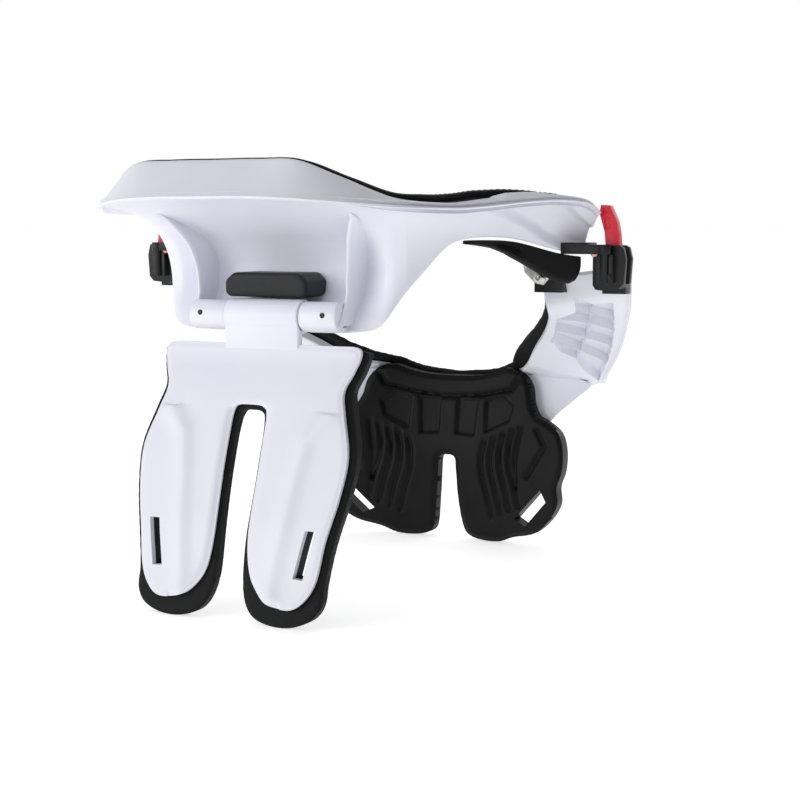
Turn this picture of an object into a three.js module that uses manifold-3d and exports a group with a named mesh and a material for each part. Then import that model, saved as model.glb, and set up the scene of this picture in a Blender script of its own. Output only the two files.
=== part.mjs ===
// A motocross neck brace: a rear half with a hinged back strut, a front half with a chest pad,
// and a latch with a red lever on each shoulder. Millimetres, +Z up, +Y the wearer's front,
// +X the wearer's right. It stands on the tips of the back strut and the lobes of the chest pad.
import * as THREE from 'three';
import { mergeVertices } from 'three/addons/utils/BufferGeometryUtils.js';
import Module from 'manifold-3d';

const wasm = await Module();
wasm.setup();

// Clearances
const GAP = 0.3; // between pieces that touch on the real brace
const RUNNING = 0.4; // round a pin that turns
const CUT = 0.5; // how far a cut runs past a face

// Rear shell
const SHOULDER_HALF = 137; // half the width over the rear shell's lip at the shoulders
const SHELL_LENGTH = 176; // from the lip at the back to the shoulder ends
const SHELL_FRONT = 28; // how far the shoulder ends lie in front of the middle of the neck
const SHELL_FOOT = 141; // height of the shell's lower edge
const SHELL_HEIGHT = 84; // from the lower edge to the panel's top edge
const SHELL_WALL = 2.8;
const SHOULDER_SHARE = 0.44; // height of the shoulder ends' lower edge, as a share of SHELL_HEIGHT
const SHOULDER_Z = SHELL_FOOT + SHOULDER_SHARE * SHELL_HEIGHT;
const RIB_WIDTH = 2.4;
const RECESS_DEPTH = 20; // how much deeper the wall lies between the two ribs than elsewhere
const RIB_RISE = 20;

// Padding of the rear half
const COLLAR_PAD = 4; // thickness of the black pad on top of the rear half
const COLLAR_PAD_SETBACK = 1; // from the shell's wall to the pad's upper edge
const COLLAR_PAD_CROWN = 1.5; // how far the pad bulges between its edges
const NECK_RIM = 12; // how far the pad reaches past the shell's wall towards the neck
const LOWER_PAD = 4.2;
const LOWER_PAD_LAST = 6; // the rear section where the lower pad ends
const LOWER_PAD_SHARES = [0.62, 0.72, 0.86, 1]; // shares of the way down the wall that it covers
const LOWER_PAD_DROP = 1; // how far the lower pad shows below the shell's edge
const SIDE_PAD = 10;

// Hinge of the back strut
const HINGE_Z = 148;
const HINGE_SETBACK = 4; // from the shell's lower wall back to the hinge axis
const BARREL_RADIUS = 8.6;
const BARREL_HALF = 21.5;
const KNUCKLE_RADIUS = 7.6;
const KNUCKLE_END = 43;
const HINGE_WEB_LIFT = 1; // from the shell's lower edge up to the web of a knuckle
const BARREL_WEB_LAP = 4; // how far the barrel's web overlaps the plate of the strut
const BARREL_WEB_BACK = 0.8; // how far the web lies behind the hinge axis, as a share of BARREL_RADIUS
const BARREL_WEB_THICK = 1.6; // the web's thickness as a share of STRUT_WALL
const HINGE_PIN_RADIUS = 2.4;
const SET_SCREW_X = 36;
const SET_SCREW_RADIUS = 1.2;
const SET_SCREW_DEPTH = 3;

// Rubber stop above the hinge
const STOP_BOTTOM_HALF = 24;
const STOP_TOP_HALF = 19;
const STOP_HEIGHT = 12.5;
const STOP_DEPTH = 7;
const STOP_CHAMFER = 2;

// Back strut
const STRUT_TOP = 134; // height of the plate's top edge
const STRUT_REACH = 46.5; // how far its tips lie behind the hinge axis
const STRUT_HALF = 60.4;
const STRUT_WALL = 3;
const STRUT_PAD = 6;
const STRUT_BORDER = 3.6; // how far the foam shows past the plate's outline
const FORK_HALF = 0.3; // half the width of the fork between the legs, as a share of STRUT_HALF
const FORK_TOP = 0.8; // height of the fork, as a share of STRUT_TOP
const FORK_BORDER = 0.6; // how far the foam shows inside the fork, as a share of STRUT_BORDER
const FOAM_TIP_TOP = 0.17; // how high the foam's own tips reach, as a share of STRUT_TOP
const FORK_TIP_TOP = 1.6; // how much higher they reach inside the fork
const FOAM_TOP_DROP = 6; // from the plate's top edge down to the foam at the hinge
const FOAM_SETBACK = 7.2; // from the barrel down to the foam, so that the strut folds clear
const TIP_DROP = 4.2; // from the plate's tips down to the ground

// Chest pad
const CHEST_HALF = 84;
const CHEST_HEIGHT = 108.5;
const CHEST_FRONT = 129; // the pad's neck face at its middle, in front of the neck's middle
const CHEST_WRAP = 17; // how far its sides wrap back
const CHEST_PAD = 9;
const CHEST_SHEET = 3;

// Front shell
const ARM_OVERHANG = 12; // how far the arms stand out past the rear shell's lip
const ARM_START = 8.8; // from the shoulder ends forward to the arms' rear ends
const ARM_SETDOWN = 7.96; // from the shoulder ends' lower edge down to the arms' rear ends
const LIP_REACH = 29; // from the chest pad's neck face forward to the front lip
const LIP_DROP = 16.5; // from the chest pad's top down to the front lip
const ARM_HALF = SHOULDER_HALF + ARM_OVERHANG; // half the width over the arms at the latches
const ARM_FRONT = CHEST_FRONT + LIP_REACH;
const ARM_BACK = SHELL_FRONT + ARM_START;
const ARM_TOP = SHOULDER_Z - ARM_SETDOWN;
const ARM_DROP = ARM_TOP - CHEST_HEIGHT + LIP_DROP; // from the arms' ends down to the front lip
const FRONT_WALL = 3;
const POCKET_RIB_WIDTH = 1.6;
const POCKET_RIB_RISE = 3.4;
const FRONT_PAD = 4; // thickness of the black pad on top of the front half
const FRONT_PAD_SHARES = [0.3, 0.6, 0.9]; // shares across the arms that it covers
const COLLAR_EDGE = 10; // how far that pad shows past the shell's neck edge where it is widest

// Shoulder latches
const FRAME_INSET = 4; // from the rear shell's lip in to a latch frame's inner edge
const FRAME_SETBACK = 6.8; // from the arms' rear ends back to the frame's middle
const FRAME_X = SHOULDER_HALF - FRAME_INSET;
const FRAME_Y = ARM_BACK - FRAME_SETBACK; // between the frame's two plates
const POST_OUT = 8; // from the frame's inner edge out to the post it turns on
const POST_BACK = 10; // from the frame's middle back to that post
const POST_RADIUS = 2;
const POST_LENGTH = 14.8;
const LUG_LIFT = 0.44; // from the shoulder ends' lower edge up to the lug
const LUG_BOTTOM = SHOULDER_Z + LUG_LIFT;
const LUG_HEIGHT = 5;
const LUG_RADIUS = 3.5;
const LUG_ARM = 2.4; // half the width of the arm from the base to the lug
const POST_BOTTOM = LUG_BOTTOM - POST_LENGTH;
const BASE_LENGTH = 14; // of the block round the shell's end
const BASE_CAP = 1; // how far that block stands above the lug
const BASE_PLAY = 1.5; // from that block to the frame's inner edge
const KNUCKLE_WALL = 2.2; // wall of the frame's open knuckle round the post
const PLATE_GAP = 6; // between the two plates of a latch frame
const PLATE = 3;
const FRAME_DROP = 19; // from the lug down to the frame's lower end
const FRAME_BOTTOM = LUG_BOTTOM - FRAME_DROP;
const FRAME_HEIGHT = 23.6;
const FRAME_WIDTH = 18;
const FRAME_WEB = 3.4;
const FOOT_INNER = 2; // from the frame's inner edge out to its foot on the arm
const FOOT_OUTER = 3; // from the foot out to the frame's outer edge
const FOOT_LAP = 4; // how far the foot reaches under the arm
const FOOT_DROP = 2; // how far the foot hangs below the frame
const FOOT_TOP = 1; // how far the foot stands above the arm
const LEVER_PIN_OUT = 10; // from the frame's inner edge out to the lever's pin
const LEVER_PIN_X = FRAME_X + LEVER_PIN_OUT;
const LEVER_PIN_UP = 8.1; // from the frame's lower end up to the lever's pin
const LEVER_PIN_Z = FRAME_BOTTOM + LEVER_PIN_UP;
const LEVER_PIN_RADIUS = 1.8;
const LEVER_LENGTH = 36.5;
const LEVER_SIDE_PLAY = 0.35;

// Small hardware at the arms' inner ends
const BLOCK_SETBACK = 3.4; // how far the block stands back from the arm's end
const BLOCK_DEPTH = 8.4;
const BLOCK_WIDTH = 16;
const BLOCK_HEIGHT = 10;
const BRACKET = 1.8;
const BRACKET_WIDTH = 17;
const BRACKET_HEIGHT = 11;
const BRACKET_OUT = 2; // from the arm's inner edge out to the middle of the bracket
const BRACKET_DROP = 3.5; // from the arm's end down to the middle of the bracket
const SCREW_DROP = 1; // from the middle of the bracket down to its screw
const SCREW_RADIUS = 3.6;
const SCREW_RISE = 2.4;

// Sections of the rear half from the middle of the back to a shoulder end.
// x is a share of SHOULDER_HALF, y of SHELL_LENGTH from the shoulder ends back, z of SHELL_HEIGHT
// above the lower edge. hollow says how deeply the wall curves in below the lip, rim how high the
// pad's neck rim lies between the lower edge and the lip, and raise how far the pad shows above
// the shell, as a share of COLLAR_PAD. recess is a share of RECESS_DEPTH.
const REAR_SECTIONS = [
  {
    lip: [0.0, 1.0, 0.774], foot: [0.0, 0.608, 0.0], top: [0.0, 0.898, 1.0],
    hollow: 2.5, rim: 0.85, raise: 0.35, recess: 1.0,
  },
  {
    lip: [0.182, 0.994, 0.774], foot: [0.182, 0.608, 0.0], top: [0.182, 0.898, 1.0],
    hollow: 2.5, rim: 0.85, raise: 0.35, recess: 1.0,
  },
  {
    lip: [0.365, 0.96, 0.762], foot: [0.33, 0.606, 0.006], top: [0.336, 0.898, 0.988],
    hollow: 2.5, rim: 0.85, raise: 0.35, recess: 1.0,
  },
  {
    lip: [0.54, 0.864, 0.738], foot: [0.438, 0.597, 0.036], top: [0.467, 0.83, 0.893],
    hollow: 2.3, rim: 0.84, raise: 0.4, recess: 0.45,
  },
  {
    lip: [0.642, 0.744, 0.726], foot: [0.511, 0.534, 0.226], top: [0.562, 0.699, 0.786],
    hollow: 2.0, rim: 0.8, raise: 0.7, recess: 0,
  },
  {
    lip: [0.686, 0.625, 0.72], foot: [0.555, 0.466, 0.369], top: [0.613, 0.602, 0.762],
    hollow: 1.7, rim: 0.75, raise: 1.0, recess: 0,
  },
  {
    lip: [0.715, 0.511, 0.72], foot: [0.588, 0.398, 0.488], top: [0.65, 0.489, 0.757],
    hollow: 1.5, rim: 0.7, raise: 1.2, recess: 0,
  },
  {
    lip: [0.774, 0.386, 0.738], foot: [0.613, 0.318, 0.536], top: [0.7, 0.38, 0.78],
    hollow: 1.4, rim: 0.65, raise: 1.2, recess: 0,
  },
  {
    lip: [0.847, 0.273, 0.762], foot: [0.657, 0.227, 0.548], top: [0.772, 0.261, 0.81],
    hollow: 1.3, rim: 0.6, raise: 0.8, recess: 0,
  },
  {
    lip: [0.927, 0.159, 0.774], foot: [0.723, 0.153, 0.536], top: [0.854, 0.15, 0.818],
    hollow: 1.3, rim: 0.6, raise: 0.3, recess: 0,
  },
  {
    lip: [0.985, 0.068, 0.75], foot: [0.847, 0.045, 0.464], top: [0.912, 0.074, 0.798],
    hollow: 1.25, rim: 0.6, raise: 0.3, recess: 0,
  },
  {
    lip: [1.0, 0.023, 0.702], foot: [0.927, 0.0, SHOULDER_SHARE], top: [0.942, 0.028, 0.75],
    hollow: 1.2, rim: 0.5, raise: 0.3, recess: 0,
  },
];

// How deep the recess is, as a share, at shares of the way down the wall.
const RECESS_BEND = [
  [0, 0], [0.33, 0], [0.45, 0.2], [0.57, 0.72], [0.7, 1], [0.81, 0.9], [0.91, 0.65], [0.97, 0.3], [1, 0],
];
const WALL_SHARES = [0, 0.14, 0.28, 0.4, 0.52, 0.64, 0.76, 0.88, 1];

// The rib beside the recess: its place along the rear sections, its share of the way down the wall
// and its rise as a share of RIB_RISE.
const RECESS_RIB = [
  { at: 2.5, down: 0.35, rise: 0.05 },
  { at: 2.42, down: 0.43, rise: 0.22 },
  { at: 2.3, down: 0.52, rise: 0.55 },
  { at: 2.12, down: 0.62, rise: 0.87 },
  { at: 2.0, down: 0.72, rise: 1 },
  { at: 1.93, down: 0.82, rise: 0.9 },
  { at: 1.92, down: 0.92, rise: 0.66 },
];

// Height of a shoulder's side pad, as a share of SHELL_HEIGHT, at places along the rear sections.
const SIDE_PAD_ROWS = [
  { at: 7.0, height: 0.05 },
  { at: 7.5, height: 0.12 },
  { at: 8.0, height: 0.21 },
  { at: 8.6, height: 0.26 },
  { at: 9.3, height: 0.28 },
  { at: 10.0, height: 0.225 },
  { at: 10.6, height: 0.19 },
  { at: 10.9, height: 0.12 },
];

// Bend of the back strut: height as a share of STRUT_TOP, back as a share of STRUT_REACH.
const STRUT_BEND = [
  { height: 1.02, back: 0.11 },
  { height: 0.985, back: 0.13 },
  { height: 0.84, back: 0.32 },
  { height: 0.6, back: 0.56 },
  { height: 0.33, back: 0.8 },
  { height: 0.14, back: 0.9 },
  { height: 0.03, back: 1.0 },
  { height: -0.02, back: 1.03 },
];

// Outline of the plate's half: x as a share of STRUT_HALF, height as a share of STRUT_TOP.
const STRUT_OUTLINE = [
  [0.82, 1.0], [0.92, 0.994], [0.945, 0.965], [0.905, 0.9], [0.845, 0.83], [0.91, 0.74], [1.0, 0.6],
  [0.95, 0.45], [0.885, 0.29], [0.835, 0.15], [0.75, 0.075], [0.62, 0.032], [0.4, 0.052],
  [0.27, 0.105], [0.2, 0.17], [0.165, 0.28], [0.17, 0.54], [0.155, 0.755], [0.12, 0.765],
];
const STRAP_SLOT = [[0.8, 0.33], [0.705, 0.33], [0.632, 0.153], [0.725, 0.15]];

// The foam's outline at the tips, below the place where it follows the plate.
const FOAM_TIP = [
  [0.875, 0.14], [0.885, 0.08], [0.79, 0.03], [0.62, 0.0], [0.42, 0.0], [0.24, 0.03],
  [0.13, 0.11], [0.105, 0.25],
];

// Chest pad outline: x as a share of CHEST_HALF, height as a share of CHEST_HEIGHT.
const CHEST_OUTLINE = [
  [0.0, 0.885], [0.2, 0.9], [0.36, 0.945], [0.46, 1.0], [0.57, 0.975], [0.655, 0.9], [0.68, 0.81],
  [0.74, 0.73], [0.8, 0.72], [0.94, 0.66], [1.0, 0.54], [0.985, 0.45], [0.93, 0.36], [0.955, 0.27],
  [0.87, 0.175], [0.73, 0.075], [0.54, 0.05], [0.42, 0.0], [0.26, 0.0], [0.18, 0.02],
  [0.135, 0.08], [0.1, 0.25], [0.065, 0.43], [0.03, 0.475], [0.0, 0.48],
];
const CHEST_LOOP = [[0.8, 0.335], [0.85, 0.275], [0.69, 0.145], [0.61, 0.185]];

// Where the chest pad's neck face lies at its middle: forward as a share of CHEST_FRONT.
const CHEST_BEND = [
  { height: -0.03, forward: 0.985 },
  { height: 0.0, forward: 0.983 },
  { height: 0.2, forward: 0.955 },
  { height: 0.48, forward: 0.945 },
  { height: 0.75, forward: 0.97 },
  { height: 0.9, forward: 1.0 },
  { height: 1.03, forward: 1.0 },
];

// The plate behind the chest pad, which is part of the front shell.
const CHEST_PLATE_OUTLINE = [
  [0.0, 0.9], [0.3, 0.91], [0.55, 0.94], [0.75, 0.965], [1.16, 0.93], [1.0, 0.83], [0.82, 0.71],
  [0.72, 0.55], [0.54, 0.3],
  [0.36, 0.17], [0.2, 0.18], [0.17, 0.42], [0.0, 0.52],
];

// Sections of the front half from a latch to the middle: x is a share of ARM_HALF, y of the way
// from ARM_BACK to ARM_FRONT, z a share of ARM_DROP below ARM_TOP. edge is how far the black pad
// shows past the neck edge, as a share of COLLAR_EDGE.
const ARM_SECTIONS = [
  { inner: [0.658, 0.0, 0.075], outer: [1.0, 0.0, 0.0], edge: 0.15 },
  { inner: [0.664, 0.065, 0.265], outer: [0.975, 0.11, 0.165], edge: 0.2 },
  { inner: [0.634, 0.17, 0.355], outer: [0.925, 0.25, 0.345], edge: 0.3 },
  { inner: [0.576, 0.29, 0.47], outer: [0.85, 0.41, 0.575], edge: 0.45 },
  { inner: [0.476, 0.45, 0.625], outer: [0.765, 0.54, 0.765], edge: 0.75 },
  { inner: [0.392, 0.6, 0.77], outer: [0.69, 0.69, 0.875], edge: 1.0 },
  { inner: [0.27, 0.82, 0.85], outer: [0.52, 0.86, 0.95], edge: 0.4 },
  { inner: [0.134, 0.84, 0.91], outer: [0.29, 0.96, 0.985], edge: 0.1 },
  { inner: [0.0, 0.845, 0.945], outer: [0.0, 1.0, 1.0], edge: 0.1 },
];

// The pocket's ribs: where they start and end along the arm sections, and where the lengthwise
// ones lie across from the neck edge to the outer edge.
const POCKET = { start: 1.0, end: 3.9, near: 0.28, far: 0.82, middle: 0.56, crossRibs: 5 };

// Latch lever and frame outlines as shares: x of FRAME_WIDTH from the frame's inner edge out, and z of the
// lever's or the frame's height.
const LEVER_OUTLINE = [
  [0.34, 0.02], [0.42, -0.06], [0.7, -0.06], [0.78, 0.05], [0.76, 0.3], [0.7, 0.6], [0.64, 0.76],
  [0.42, 0.99], [0.16, 1.0], [0.12, 0.88], [0.28, 0.62], [0.34, 0.3],
];
const FRAME_OUTLINE = [
  [0.0, 0.12], [0.08, 0.02], [0.25, 0.0], [0.8, 0.04], [0.95, 0.16], [1.0, 0.7], [0.92, 0.95],
  [0.8, 1.0], [0.06, 1.0], [0.0, 0.86],
];

// Outline of the bracket: shares of BRACKET_WIDTH and BRACKET_HEIGHT from its middle.
const BRACKET_OUTLINE = [
  [-0.588, 0.545], [-0.529, 0.136], [-0.176, -0.364], [0.118, -0.455], [0.412, 0.045], [0.235, 0.455],
];

// Profile of the screw's head: shares of SCREW_RADIUS and SCREW_RISE.
const SCREW_PROFILE = [
  [0, 0], [1, 0], [1, 0.3], [0.72, 0.8], [0.45, 1], [0.4, 1], [0.4, 0.45], [0, 0.45],
];

/** A point from three shares, measured from a corner along three lengths. */
function placed(shares, corner, lengths) {
  return new THREE.Vector3(
    corner[0] + shares[0] * lengths[0],
    corner[1] + shares[1] * lengths[1],
    corner[2] + shares[2] * lengths[2],
  );
}

/** A closed body from vertices and triangles, turned the right way out. */
function body(vertices, triangles) {
  const positions = new Float32Array(vertices.flatMap((v) => [v.x, v.y, v.z]));
  let volume = 0;
  for (const [a, b, c] of triangles) {
    volume += vertices[a].dot(vertices[b].clone().cross(vertices[c]));
  }
  const turned = volume < 0 ? triangles.map(([a, b, c]) => [a, c, b]) : triangles;
  const geometry = new THREE.BufferGeometry();
  geometry.setAttribute('position', new THREE.BufferAttribute(positions, 3));
  geometry.setIndex(turned.flat());
  return solid(geometry);
}

/** A three.js geometry as a solid that can be joined and cut. */
function solid(geometry) {
  const bare = geometry.clone();
  bare.deleteAttribute('normal');
  bare.deleteAttribute('uv');
  const merged = mergeVertices(bare, 1e-4);
  return new wasm.Manifold(new wasm.Mesh({
    numProp: 3,
    vertProperties: new Float32Array(merged.attributes.position.array),
    triVerts: new Uint32Array(merged.index.array),
  }));
}

/** The geometry of a solid. */
function geometryOf(shape) {
  const mesh = shape.getMesh();
  const geometry = new THREE.BufferGeometry();
  geometry.setAttribute('position', new THREE.BufferAttribute(new Float32Array(mesh.vertProperties), 3));
  geometry.setIndex(new THREE.BufferAttribute(new Uint32Array(mesh.triVerts), 1));
  return geometry;
}

/** The largest connected part of a solid. */
function largest(shape) {
  return shape.decompose().reduce((best, next) => (next.volume() > best.volume() ? next : best));
}

/** The mirror image of a solid across the middle plane. */
function mirrored(shape) {
  const mesh = shape.getMesh();
  const vertices = [];
  for (let i = 0; i < mesh.vertProperties.length; i += 3) {
    const [x, y, z] = mesh.vertProperties.slice(i, i + 3);
    vertices.push(new THREE.Vector3(-x, y, z));
  }
  const triangles = [];
  for (let i = 0; i < mesh.triVerts.length; i += 3) {
    triangles.push([mesh.triVerts[i], mesh.triVerts[i + 2], mesh.triVerts[i + 1]]);
  }
  return body(vertices, triangles);
}

/** Unit normals of a grid of points: the row direction crossed with the column direction. */
function gridNormals(grid) {
  const rows = grid.length;
  const columns = grid[0].length;
  return grid.map((row, i) => row.map((_, j) => {
    const along = grid[Math.min(i + 1, rows - 1)][j].clone().sub(grid[Math.max(i - 1, 0)][j]);
    const before = grid[i][j].clone().sub(grid[i][Math.max(j - 1, 0)]).normalize();
    const after = grid[i][Math.min(j + 1, columns - 1)].clone().sub(grid[i][j]).normalize();
    return along.cross(before.add(after)).normalize();
  }));
}

/** A wall over a grid of points, from one distance along the normals to another. */
function wall(grid, near, far) {
  const rows = grid.length;
  const columns = grid[0].length;
  const normals = gridNormals(grid);
  const layer = (distance) => grid.flatMap((row, i) => row.map((p, j) => (
    p.clone().addScaledVector(normals[i][j], distance))));
  const vertices = [...layer(far), ...layer(near)];
  const at = (side, i, j) => side * rows * columns + i * columns + j;
  const triangles = [];
  const quad = (a, b, c, d) => triangles.push([a, b, c], [a, c, d]);
  for (let i = 0; i < rows - 1; i += 1) {
    const firstHalf = i < (rows - 1) / 2;
    for (let j = 0; j < columns - 1; j += 1) {
      const outer = [at(0, i, j), at(0, i + 1, j), at(0, i + 1, j + 1), at(0, i, j + 1)];
      const inner = [at(1, i, j + 1), at(1, i + 1, j + 1), at(1, i + 1, j), at(1, i, j)];
      for (const [a, b, c, d] of [outer, inner]) {
        if (firstHalf) quad(b, c, d, a);
        else quad(a, b, c, d);
      }
    }
    quad(at(0, i + 1, 0), at(0, i, 0), at(1, i, 0), at(1, i + 1, 0));
    const last = columns - 1;
    quad(at(0, i, last), at(0, i + 1, last), at(1, i + 1, last), at(1, i, last));
  }
  for (let j = 0; j < columns - 1; j += 1) {
    quad(at(0, 0, j), at(0, 0, j + 1), at(1, 0, j + 1), at(1, 0, j));
    const last = rows - 1;
    quad(at(0, last, j + 1), at(0, last, j), at(1, last, j), at(1, last, j + 1));
  }
  return body(vertices, triangles);
}

/** A grid whose outer rows and columns are moved outwards by a margin. */
function grown(grid, margin) {
  const beyond = (end, before) => end.clone().add(end.clone().sub(before).setLength(margin));
  const wide = grid.map((row) => [
    beyond(row[0], row[1]), ...row.slice(1, -1), beyond(row.at(-1), row.at(-2)),
  ]);
  const first = wide[0].map((p, j) => beyond(p, wide[1][j]));
  const last = wide.at(-1).map((p, j) => beyond(p, wide.at(-2)[j]));
  return [first, ...wide.slice(1, -1), last];
}

/** A solid through rings of points, each ring convex and all with the same count. */
function loft(rings) {
  const count = rings[0].length;
  const triangles = [];
  for (let i = 0; i < rings.length - 1; i += 1) {
    for (let j = 0; j < count; j += 1) {
      const next = (j + 1) % count;
      const [a, b] = [i * count + j, i * count + next];
      triangles.push([a, b, b + count], [a, b + count, a + count]);
    }
  }
  const end = (rings.length - 1) * count;
  for (let j = 1; j < count - 1; j += 1) {
    triangles.push([0, j + 1, j], [end, end + j, end + j + 1]);
  }
  return body(rings.flat(), triangles);
}

/** A ridge that stands on a surface: one ring for each point, with its normal and rise. */
function ridge(points, normals, width, rises, sunk) {
  const rings = points.map((p, i) => {
    const before = points[Math.max(i - 1, 0)];
    const after = points[Math.min(i + 1, points.length - 1)];
    const side = after.clone().sub(before).cross(normals[i]).normalize().multiplyScalar(width / 2);
    const base = p.clone().addScaledVector(normals[i], -sunk);
    const crest = p.clone().addScaledVector(normals[i], rises[i]);
    return [
      base.clone().sub(side), base.clone().add(side), crest.clone().add(side), crest.clone().sub(side),
    ];
  });
  return loft(rings);
}

/** A round rod from one point to another. */
function rod(from, to, radius, sides = 16) {
  const axis = to.clone().sub(from);
  const geometry = new THREE.CylinderGeometry(radius, radius, axis.length(), sides);
  const upright = new THREE.Vector3(0, 1, 0);
  const turn = new THREE.Quaternion().setFromUnitVectors(upright, axis.clone().normalize());
  geometry.applyQuaternion(turn);
  geometry.translate(...from.clone().add(to).multiplyScalar(0.5));
  return solid(geometry);
}

/** A rod along X. */
function rodX(x0, x1, y, z, radius, sides) {
  return rod(new THREE.Vector3(x0, y, z), new THREE.Vector3(x1, y, z), radius, sides);
}

/** A rod along Y. */
function rodY(x, y0, y1, z, radius, sides) {
  return rod(new THREE.Vector3(x, y0, z), new THREE.Vector3(x, y1, z), radius, sides);
}

/** A rod along Z. */
function rodZ(x, y, z0, z1, radius, sides) {
  return rod(new THREE.Vector3(x, y, z0), new THREE.Vector3(x, y, z1), radius, sides);
}

/** A block between two corners. */
function block(x0, x1, y0, y1, z0, z1) {
  const geometry = new THREE.BoxGeometry(x1 - x0, y1 - y0, z1 - z0);
  geometry.translate((x0 + x1) / 2, (y0 + y1) / 2, (z0 + z1) / 2);
  return solid(geometry);
}

/** An outline of x and z, extruded along Y. */
function prismY(outline, y0, y1) {
  const shape = new THREE.Shape(outline.map(([x, z]) => new THREE.Vector2(x, z)));
  const geometry = new THREE.ExtrudeGeometry(shape, { depth: y1 - y0, bevelEnabled: false });
  geometry.rotateX(Math.PI / 2);
  geometry.translate(0, y1, 0);
  return solid(geometry);
}

/** Both halves of an outline of x and z, from the half with positive x. */
function wholeOutline(half) {
  const other = half.filter(([x]) => x > 0).map(([x, z]) => [-x, z]).reverse();
  return [...half, ...other];
}

/** A curve through mirrored points, from the left end over the middle to the right end. */
function mirroredCurve(points) {
  const left = points.slice(1).reverse().map((p) => new THREE.Vector3(-p.x, p.y, p.z));
  return new THREE.CatmullRomCurve3([...left, ...points], false, 'centripetal');
}

/** The value of a list at a fractional place. */
function valueAt(list, place) {
  const low = Math.min(Math.floor(place), list.length - 2);
  return THREE.MathUtils.lerp(list[low], list[low + 1], place - low);
}

/** The second column of a table at a value of its first column. */
function bendAt(rows, key) {
  const low = Math.max(0, Math.min(rows.findLastIndex(([at]) => at <= key), rows.length - 2));
  const [[k0, v0], [k1, v1]] = rows.slice(low, low + 2);
  return THREE.MathUtils.lerp(v0, v1, (key - k0) / (k1 - k0));
}

// Rear half: the surface that its pieces share
const rearPlace = (shares) => placed(
  shares,
  [0, SHELL_FRONT, SHELL_FOOT],
  [SHOULDER_HALF, -SHELL_LENGTH, SHELL_HEIGHT],
);
const lipCurve = mirroredCurve(REAR_SECTIONS.map((s) => rearPlace(s.lip)));
const footCurve = mirroredCurve(REAR_SECTIONS.map((s) => rearPlace(s.foot)));
const topCurve = mirroredCurve(REAR_SECTIONS.map((s) => rearPlace(s.top)));
const REAR_LAST = REAR_SECTIONS.length - 1;
const onRear = (curve, place) => curve.getPoint((place + REAR_LAST) / (2 * REAR_LAST));
const rearValue = (column, place) => valueAt(REAR_SECTIONS.map((s) => s[column]), Math.abs(place));

/** The wall below the lip: share 0 at the lip, 1 at the lower edge. */
function rearWall(place, share) {
  const lip = onRear(lipCurve, place);
  const foot = onRear(footCurve, place);
  const hollow = rearValue('hollow', place);
  const reach = 1 - (1 - share) ** hollow;
  const drop = share ** hollow;
  const recess = RECESS_DEPTH * rearValue('recess', place) * bendAt(RECESS_BEND, share);
  return new THREE.Vector3(
    THREE.MathUtils.lerp(lip.x, foot.x, reach),
    THREE.MathUtils.lerp(lip.y, foot.y, reach) + recess,
    THREE.MathUtils.lerp(lip.z, foot.z, drop),
  );
}

/** Places along the rear half, from one section to another. */
function places(first, last, stepsPerSection) {
  const count = Math.round((last - first) * stepsPerSection);
  return Array.from({ length: count + 1 }, (_, i) => first + ((last - first) * i) / count);
}

/** The rear shell's outer face: rows along it, columns from its top edge over the lip down. */
function shellGrid() {
  return places(-REAR_LAST, REAR_LAST, 2).map((place) => [
    onRear(topCurve, place),
    onRear(topCurve, place).lerp(onRear(lipCurve, place), 0.5),
    ...WALL_SHARES.map((share) => rearWall(place, share)),
  ]);
}

const shellSkin = shellGrid();
const hingeY = rearPlace(REAR_SECTIONS[0].foot).y - HINGE_SETBACK;
const barrelTop = HINGE_Z + BARREL_RADIUS + RUNNING;

/** The unit direction from the lip to the lower edge, seen from above. */
function neckward(place) {
  const way = onRear(footCurve, place).sub(onRear(lipCurve, place));
  return way.setZ(0).normalize();
}

/** The rib on the right side of the recess, which stands straight out to the back. */
function recessRib() {
  const points = RECESS_RIB.map(({ at, down }) => rearWall(at, down));
  const normals = points.map(() => new THREE.Vector3(0, -1, 0));
  const rises = RECESS_RIB.map(({ rise }) => rise * RIB_RISE);
  return ridge(points, normals, RIB_WIDTH, rises, SHELL_WALL / 2);
}

function rearShell() {
  const rib = recessRib();
  const x0 = BARREL_HALF + GAP;
  const knuckle = rodX(x0, KNUCKLE_END, hingeY, HINGE_Z, KNUCKLE_RADIUS, 20);
  const bossTop = HINGE_Z + KNUCKLE_RADIUS * 0.9;
  const neckSide = wall(shellSkin, SHELL_WALL / 2, 2 * RECESS_DEPTH);
  const web = block(x0, KNUCKLE_END, hingeY, hingeY + RECESS_DEPTH, SHELL_FOOT + HINGE_WEB_LIFT, bossTop)
    .subtract(neckSide);
  const boss = knuckle.add(web);
  const away = KNUCKLE_RADIUS + CUT;
  const setScrew = rodY(
    SET_SCREW_X, hingeY - away, hingeY - KNUCKLE_RADIUS + SET_SCREW_DEPTH, HINGE_Z, SET_SCREW_RADIUS, 8,
  );
  const deep = BARREL_RADIUS + HINGE_SETBACK + SHELL_WALL + RECESS_DEPTH;
  const barrelRoom = rodX(-x0, x0, hingeY, HINGE_Z, BARREL_RADIUS + RUNNING, 24)
    .add(block(-x0, x0, hingeY - deep, hingeY + deep, SHELL_FOOT - 2 * SHELL_WALL, HINGE_Z));
  const bore = rodX(x0 - CUT, KNUCKLE_END + CUT, hingeY, HINGE_Z, HINGE_PIN_RADIUS + GAP, 16);
  return wall(shellSkin, 0, SHELL_WALL)
    .add(rib).add(mirrored(rib))
    .subtract(barrelRoom)
    .add(boss).add(mirrored(boss))
    .subtract(bore).subtract(mirrored(bore))
    .subtract(setScrew).subtract(mirrored(setScrew));
}

/** The rear shell grown by the gap, to keep soft pieces clear of it. */
function rearShellRoom() {
  const rib = recessRib();
  return wall(grown(shellSkin, GAP), -GAP, SHELL_WALL + GAP).add(rib).add(mirrored(rib));
}

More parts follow.
